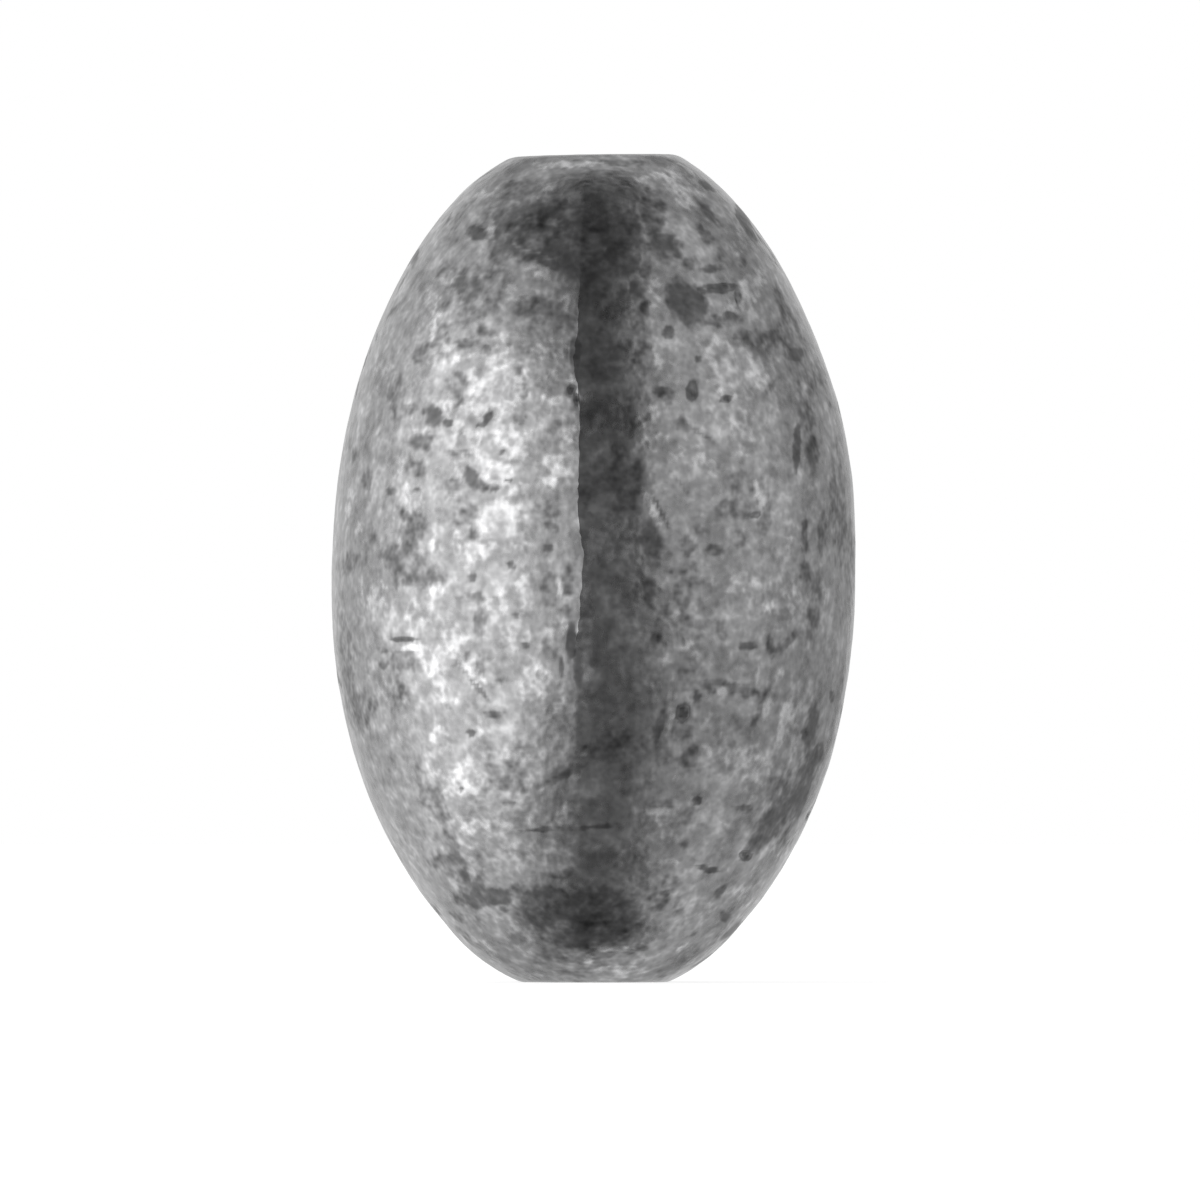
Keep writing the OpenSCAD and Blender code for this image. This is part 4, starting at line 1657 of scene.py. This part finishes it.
        # The parting line wanders, and its edge is a little ragged
        uneven = tree.grain(
            tree.joined(0.0, 0.0, height), self.line_ragged_size, 2.0, 0.6, shift=4.4) - 0.5
        stray = (tree.curve(share_up, self.line_wander()) - 0.5) / self.wander_scale
        stray = stray + self.line_ragged * uneven
        near_line = tree.math("EXPONENT", from_line * from_line * -self.wander_fade)
        heading = phi + stray * near_line + front_turn
        form.store("outside", outside)
        form.store("seam", sine * radius)
        form.store("over", over * outside)
        form.store("nip", tree.clamp01(over * outside / self.nip_full))
        on_crest = tree.math("LESS_THAN", from_plane, self.crest_half)
        form.store("crest", on_crest * strength * outside)
        form.store("corner", self.softness(form))
        form.wrap(section, heading, height)
        self.soften(form)
        self.roughen(form)
        sharp = tree.math("GREATER_THAN", form.stored("crest"), self.crest_sharp)
        return form.build("lead_body_cast", self.finish.material(), sharp)

    def softness(self, form: LatheTree) -> Term:
        """How much each row is softened: those at the foot's corner, and those at the top edge.

        Args:
            form: The form's tree.

        Returns:
            The share, from 0 to 1.
        """
        tree = form.tree
        up = 1.0 - form.row / self.foot_rows
        across = 1.0 - (form.rows - form.row) / self.foot_flat_rows
        from_top = tree.math("ABSOLUTE", form.row - form.size("Outer Rows"))
        top = self.top_softness - from_top / self.top_rows
        return tree.clamp01(tree.math("MAXIMUM", tree.math("MAXIMUM", up, across), top))

    def soften(self, form: LatheTree) -> None:
        """Round the corners between the oval and the flats, the bottom one more.

        Args:
            form: The form's tree.
        """
        tree = form.tree
        here = tree.term(tree.node("GeometryNodeInputPosition"))
        blurred = tree.term(tree.node(
            "GeometryNodeBlurAttribute", {"data_type": "FLOAT_VECTOR"},
            {"Value": here, "Iterations": self.soft_rounds, "Weight": form.stored("corner")}))
        form.place(blurred)

    def uneven_skin(self, form: LatheTree, here: Term) -> Term:
        """Depth of the cast skin's swells, dents, grain and blow holes.

        Args:
            form: The form's tree.
            here: Each point's place.

        Returns:
            The depth in metres, below nought where the skin stands out.
        """
        tree, size = form.tree, form.size
        swell = tree.grain(here, self.swell_size, 1.0, shift=1.7) - 0.5
        dents = tree.grain(here, self.dent_size, 2.0, shift=5.1) - 0.5
        grain = tree.grain(here, self.grain_size, 1.0, 0.5, 0.8, shift=9.4) - 0.5
        cells = tree.cells(here, self.hole_spacing)
        lot, _, _ = tree.parts(tree.term(cells, "Color"))
        hole = (1.0 - tree.smooth(tree.term(cells, "Distance"), *self.hole_edges)) * (
            tree.math("GREATER_THAN", lot, self.holes_left_out))
        return (size("Swell") * swell + size("Dents") * dents + size("Grain") * grain
                + self.pit_depth * hole)

    def torn_face(self, form: LatheTree, here: Term) -> Term:
        """Move that cuts the gate's stub off and tears its face in ridges across it.

        Args:
            form: The form's tree.
            here: Each point's place.

        Returns:
            The move, towards the bore and inside the plane that the frame gives the face.
        """
        tree = form.tree
        stretched = tree.vector("MULTIPLY", here, (1.0, 1.0, 3.0))
        torn = tree.grain(stretched, self.torn_size, 3.0, 0.6, shift=2.2)
        inward = tree.joined(-math.sin(self.parting_turn), -math.cos(self.parting_turn), 0.0)
        depth = form.stored("over") + tree.smooth(form.stored("nip"), 0.08, 0.30) * (
            self.torn_least + self.torn_depth * tree.math("MAXIMUM", torn - 0.42, 0.0))
        return tree.vector("SCALE", inward, depth)

    def roughen(self, form: LatheTree) -> None:
        """Make the skin uneven and tear the gate's face, with nothing outside the frame's box.

        Args:
            form: The form's tree.
        """
        tree, size = form.tree, form.size
        here = tree.term(tree.node("GeometryNodeInputPosition"))
        normal = tree.term(tree.node("GeometryNodeInputNormal"))
        raised = self.uneven_skin(form, here) * form.stored("outside") * -1.0
        moved = tree.vector("ADD", here, tree.vector("SCALE", normal, raised))
        moved = tree.vector("ADD", moved, self.torn_face(form, here))
        low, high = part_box("lead_body")
        moved = tree.vector("MINIMUM", tree.vector("MAXIMUM", moved, tuple(low)), tuple(high))

        # The top end leans to the left
        x, y, z = tree.parts(moved)
        length = size("Body Length")
        lean = tree.clamp01(0.5 - x / (2 * size("Top Flat"))) * self.top_lean
        z = z - lean * tree.smooth(z, length - self.lean_h, length)
        form.place(tree.joined(x, y, z))
        for name, shift in (("stray_right", 3.3), ("stray_down", 8.8)):
            form.store(name, tree.grain(here, self.stray_size, 3.0, 0.7, shift=shift) - 0.5)

    def marks(self) -> list[Mark]:
        """The front's marks, read in the photograph, and strewn ones on the other sides."""
        others = self.strewing.marks(self.photo, self.oval)
        return [*TOP_MARKS, *UPPER_MARKS, *LOWER_MARKS, *FOOT_MARKS, *others]

    def reach(self, mark: Mark, view: View, stray: Sequence[np.ndarray]) -> np.ndarray:
        """How far the body's points lie from a mark's middle.

        Args:
            mark: The mark.
            view: Where the points are seen.
            stray: How far each point strays to the right and down, from -0.5 to 0.5.

        Returns:
            The distances, where 1 is the mark's ragged edge.
        """
        tilt = math.radians(mark.tilt)
        right, down = view.columns - mark.column, view.rows - mark.row
        along = (right * math.cos(tilt) + down * math.sin(tilt)) / (mark.wide / 2)
        across = (down * math.cos(tilt) - right * math.sin(tilt)) / (mark.high / 2)
        ragged = min(self.ragged_most, self.ragged_px / mark.high)
        return np.sqrt((along + ragged * stray[0]) ** 2 + (across + ragged * stray[1]) ** 2)

    def pressed(self, mark: Mark, reach: np.ndarray, share: np.ndarray,
                facing: np.ndarray) -> np.ndarray:
        """How deep a mark sinks the body's points.

        Args:
            mark: The mark.
            reach: How far the points lie from its middle.
            share: How much of it lies on each.
            facing: Which of them are on its side.

        Returns:
            The depths in metres.
        """
        if mark.kind is Kind.PIT:
            bowl = np.clip(1.0 - reach / self.bowl_reach, 0.0, 1.0)
            bowl = bowl * bowl * (3.0 - 2.0 * bowl)
            return self.pit_depth * bowl * facing * mark.strength
        return share * (self.stain_depth if mark.kind is Kind.STAIN_AND_SHADE else 0.0)

    def dress(self, piece: bpy.types.Object) -> None:
        """Press the marks into the body and keep their stains, rubs and painted light as attributes.

        Args:
            piece: The body's mesh.
        """
        mesh = piece.data
        count = len(mesh.vertices)
        places = point_values(mesh.vertices, "co", 3 * count).reshape(-1, 3)
        normals = point_values(mesh.vertices, "normal", 3 * count).reshape(-1, 3)
        stray = [point_values(mesh.attributes[name].data, "value", count)
                 for name in ("stray_right", "stray_down")]
        cover = {Kind.STAIN_AND_SHADE: np.zeros(count), Kind.RUB_AND_HIGHLIGHT: np.zeros(count)}
        sunk = np.zeros(count)
        front = self.photo.view(places)
        for mark in self.marks():
            view = self.photo.view(places, mark.turn) if mark.turn else front
            reach = self.reach(mark, view, stray)

            # A mark is whole within two thirds of its reach, and gone a third past it. Thin
            # marks are a little stronger, because the mesh's points soften them.
            thin = min(1.0, max(0.0, 1.4 - 0.1 * min(mark.wide, mark.high)))
            share = np.clip(1.9 - 1.4 * reach, 0.0, 1.0) * view.facing * mark.strength * (
                1.0 + 0.2 * thin)
            sunk = np.maximum(sunk, self.pressed(mark, reach, share, view.facing))
            if mark.kind is Kind.PIT:
                share = self.pit_cover * share
            held = cover[Kind.RUB_AND_HIGHLIGHT if mark.kind is Kind.RUB_AND_HIGHLIGHT else Kind.STAIN_AND_SHADE]
            np.maximum(held, share, out=held)
        places -= normals * sunk[:, None]
        mesh.vertices.foreach_set("co", places.astype(np.float32).ravel())
        mesh.update()
        for kind, values in cover.items():
            attribute = mesh.attributes.new(kind.value, "FLOAT", "POINT")
            attribute.data.foreach_set("value", values.astype(np.float32))
        for name in ("over", "crest", "corner", "stray_right", "stray_down"):
            mesh.attributes.remove(mesh.attributes[name])

    def build(self) -> bpy.types.Object:
        """Build and dress the body.

        Returns:
            The finished piece.
        """
        piece = self.form()
        self.dress(piece)
        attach(piece, BODY)
        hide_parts("lead_body")
        return piece


@dataclass
class BoreLiner:
    """The brass tube in the bore, with a flared lip at each end."""

    measures: Measures
    oval: Oval
    finish: BrassFinish = field(default_factory=BrassFinish)
    columns: int = 96
    lip_rows: int = 4
    flare_rows: int = 8
    tube_rows: int = 40

    def form(self) -> bpy.types.Object:
        """Build the tube with Geometry Nodes.

        The rows run out along the bottom lip, in along its flare, up the tube, out and back in
        along the top lip, and down the bore.

        Returns:
            The tube as one closed mesh.
        """
        sizes = self.measures
        flares = ("Bottom Flare", "Top Flare", "Top Throat", "Bottom Throat")
        counts = {f"{label} Rows": self.flare_rows for label in flares}
        form = LatheTree("bore_liner_form", {
            "Columns": self.columns, "Bottom Lip Rows": self.lip_rows, **counts,
            "Outer Rows": self.tube_rows, "Top Lip Rows": self.lip_rows, "Inner Rows": self.tube_rows,
            "Tube Radius": sizes.liner_r, "Wall": sizes.liner_wall, "Flare": sizes.flare,
            "Bottom": sizes.lip_z, "Top": self.oval.body_l - sizes.lip_z,
        }, ("Bottom Lip Rows", "Bottom Flare Rows", "Outer Rows", "Top Flare Rows", "Top Lip Rows",
            "Top Throat Rows", "Inner Rows", "Bottom Throat Rows"))
        tree, size = form.tree, form.size
        low_lip, low_flare, outer, top_flare, top_lip, top_throat, inner, low_throat = form.shares
        wall, flare = size("Wall"), size("Flare")
        straight = size("Top") - size("Bottom") - 2 * flare
        radius = (size("Tube Radius") + flare - wall + wall * low_lip - flare * low_flare
                  + flare * top_flare - wall * top_lip - flare * top_throat + flare * low_throat)
        height = (size("Bottom") + flare * low_flare + straight * outer + flare * top_flare
                  - flare * top_throat - straight * inner - flare * low_throat)
        form.wrap(radius, form.turn, height)
        return form.build("bore_liner_tube", self.finish.material(self.oval.body_l))

    def build(self) -> bpy.types.Object:
        """Build and dress the liner.

        Returns:
            The finished piece.
        """
        piece = self.form()
        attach(piece, BODY)
        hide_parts("bore_liner")
        return piece


@dataclass(frozen=True)
class Studio:
    """A plain pale room: a white floor, a bright panel on the left and pale walls around.

    The walls are patches of the world's light. A patch starts and ends at values, from -1 to 1,
    of the three parts of the direction in which it is seen from the sinker.
    """

    floor_span: float = 2.4
    floor_tone: float = 0.5
    floor_glow: float = 0.75

    # Brightness of the world's light, where 1 is white: all round, then of each wall and the panel
    fill: float = 0.155
    left: float = 0.95
    right: float = 0.92
    behind: float = 0.95
    ends: float = 0.85
    panel: float = 0.95

    def side_walls(self, tree: Tree, x: Term, y: Term, z: Term) -> Term:
        """Brightness of the left and right walls in a direction.

        Args:
            tree: The world's tree.
            x: The direction's part to the right.
            y: Its part away from the camera.
            z: Its part upwards.

        Returns:
            The brightness.
        """
        tall = tree.smooth(tree.math("MAXIMUM", z, -1.15 * z), 0.30, 0.65)
        left_wall = tree.smooth(-x, 0.10, 0.30 + 0.38 * tall) * (
            self.left - 0.08 * tree.smooth(y, 0.0, 0.6))

        # The right wall is dimmer low down in front and far behind, except in its low far corner
        below = tree.smooth(-z, -0.15, 0.30)
        low_end = tree.smooth(-z, 0.52, 0.72)
        far_corner = tree.smooth(y, 0.20, 0.60) * tree.smooth(-z, 0.12, 0.40)
        dimmed = 0.36 * below * (1.0 - low_end * tree.smooth(y, -0.30, 0.10)) + (
            tree.smooth(y, -0.05, 0.35) * (0.27 + 0.12 * tree.smooth(z, 0.0, 0.3)))
        low_middle = below * (1.0 - low_end)
        right_wall = tree.smooth(x, 0.33, 0.43 + 0.35 * low_middle) * (
            self.right - dimmed * (1.0 - far_corner))
        return tree.math("MAXIMUM", left_wall, right_wall)

    def backdrop(self, tree: Tree, x: Term, y: Term, z: Term) -> Term:
        """How much of the wall behind the sinker lies in a direction, less a gap in its middle.

        Args:
            tree: The world's tree.
            x: The direction's part to the right.
            y: Its part away from the camera.
            z: Its part upwards.

        Returns:
            The share, from 0 to 1.
        """
        off_middle = tree.math("ABSOLUTE", x + 0.04)
        gap = (1.0 - tree.smooth(off_middle, 0.05, 0.26)) * tree.smooth(y, 0.86, 0.97)
        steep = tree.math("ABSOLUTE", z)
        right_side = tree.smooth(x, 0.0, 0.3) * (1.0 - tree.smooth(steep, 0.08, 0.28))
        wall = tree.smooth(y, 0.75 + 0.15 * right_side, 0.95 + 0.045 * right_side)
        return wall * (1.0 - 0.62 * gap)

    def far_ends(self, tree: Tree, y: Term, z: Term) -> Term:
        """Brightness of the far ceiling and the far floor in a direction.

        Args:
            tree: The world's tree.
            y: The direction's part away from the camera.
            z: Its part upwards.

        Returns:
            The brightness.
        """
        steep = tree.math("ABSOLUTE", z)
        return tree.smooth(y, 0.12, 0.40) * tree.smooth(steep, 0.5, 0.8) * (
            1.0 - 0.18 * tree.smooth(-z, 0.5, 0.8)) * self.ends

    def left_panel(self, tree: Tree, x: Term, y: Term, z: Term) -> Term:
        """Brightness of the panel at the left, which stands level with the sinker.

        Args:
            tree: The world's tree.
            x: The direction's part to the right.
            y: Its part away from the camera.
            z: Its part upwards.

        Returns:
            The brightness.
        """
        level = (1.0 - tree.smooth(z, 0.50, 0.64)) * (1.0 - tree.smooth(-z, 0.54, 0.70))
        across = tree.smooth(-x, 0.36, 0.60) * level * (1.0 - tree.smooth(y, -0.05, 0.65))
        return self.panel * across

    def fill_light(self, tree: Tree, x: Term, z: Term) -> Term:
        """Brightness of the room where nothing bright stands: less above, more below.

        Args:
            tree: The world's tree.
            x: The direction's part to the right.
            z: Its part upwards.

        Returns:
            The brightness.
        """
        low_strip = (1.0 - tree.smooth(tree.math("ABSOLUTE", x - 0.08), 0.0, 0.14)) * (
            tree.smooth(-z, -0.15, 0.10))
        return self.fill * (1.0 - 0.6 * tree.smooth(z, 0.0, 0.6) + 0.4 * tree.smooth(-z, 0.0, 0.3)
                            + 0.5 * low_strip)

    def light(self) -> None:
        """Make the room's own light, which is fixed to the room and not to the camera."""
        world = bpy.data.worlds.new("studio")
        bpy.context.scene.world = world
        world.use_nodes = True
        tree = Tree(world.node_tree)
        x, y, z = tree.parts(tree.term(tree.node("ShaderNodeTexCoord"), "Generated"))
        backdrop = self.backdrop(tree, x, y, z)
        rear = tree.math("MAXIMUM", backdrop * self.behind, self.far_ends(tree, y, z))
        walls = tree.math("MAXIMUM", self.side_walls(tree, x, y, z), rear)
        strength = self.fill_light(tree, x, z) + walls + self.left_panel(tree, x, y, z)
        lit = tree.term(tree.node("ShaderNodeBackground", inputs={
            "Color": WHITE, "Strength": strength}))

        # The camera sees plain white all round, and a mirrored look sees it in the wall behind
        seen = tree.term(tree.node("ShaderNodeBackground", inputs={"Color": WHITE, "Strength": 1.0}))
        path = tree.node("ShaderNodeLightPath")
        mirrored = tree.clamp01(
            tree.term(path, "Is Glossy Ray") + tree.term(path, "Is Transmission Ray")) * backdrop
        shown = tree.math("MAXIMUM", tree.term(path, "Is Camera Ray"), mirrored)
        mixed = tree.node("ShaderNodeMixShader", inputs={0: shown, 1: lit, 2: seen})
        tree.node("ShaderNodeOutputWorld", inputs={0: tree.term(mixed)})

    def floor(self) -> bpy.types.Object:
        """Make the pale floor that the sinker stands on, which takes its shadow.

        Returns:
            The floor.
        """
        half = self.floor_span / 2
        mesh = bpy.data.meshes.new("floor")
        corners = [(-half, -half, 0), (half, -half, 0), (half, half, 0), (-half, half, 0)]
        mesh.from_pydata(corners, [], [(0, 1, 2, 3)])
        made = bpy.data.objects.new("floor", mesh)
        bpy.context.scene.collection.objects.link(made)
        skin = bpy.data.materials.new("pale_floor")
        skin.use_nodes = True
        tree = Tree(skin.node_tree)
        path = tree.node("ShaderNodeLightPath")
        tone = self.floor_tone
        matte = tree.term(tree.node("ShaderNodeBsdfDiffuse", inputs={
            "Color": (tone, tone, tone, 1.0)}))
        glow = tree.term(tree.node("ShaderNodeEmission", inputs={
            "Color": WHITE, "Strength": self.floor_glow * tree.term(path, "Is Camera Ray")}))
        both = tree.node("ShaderNodeAddShader", inputs={0: matte, 1: glow})
        tree.node("ShaderNodeOutputMaterial", inputs={0: tree.term(both)})
        mesh.materials.append(skin)
        made.visible_glossy = False
        return made


def main() -> None:
    """Build the room, the camera and the sinker, piece by piece."""
    logging.basicConfig(level=logging.INFO, format="%(name)s: %(message)s")
    bpy.context.scene.view_settings.view_transform = "Standard"
    measures = Measures.from_frame()
    oval = Oval(measures.body_r, measures.body_l)
    photo = Photograph(2 * measures.body_r, oval.lower_h)
    photo.camera()
    studio = Studio()
    studio.light()
    studio.floor()
    for maker in (LeadBody(measures, oval, photo), BoreLiner(measures, oval)):
        piece = maker.build()
        LOG.info("%s: %d faces", piece.name, len(piece.data.polygons))


if __name__ == "__main__":
    main()
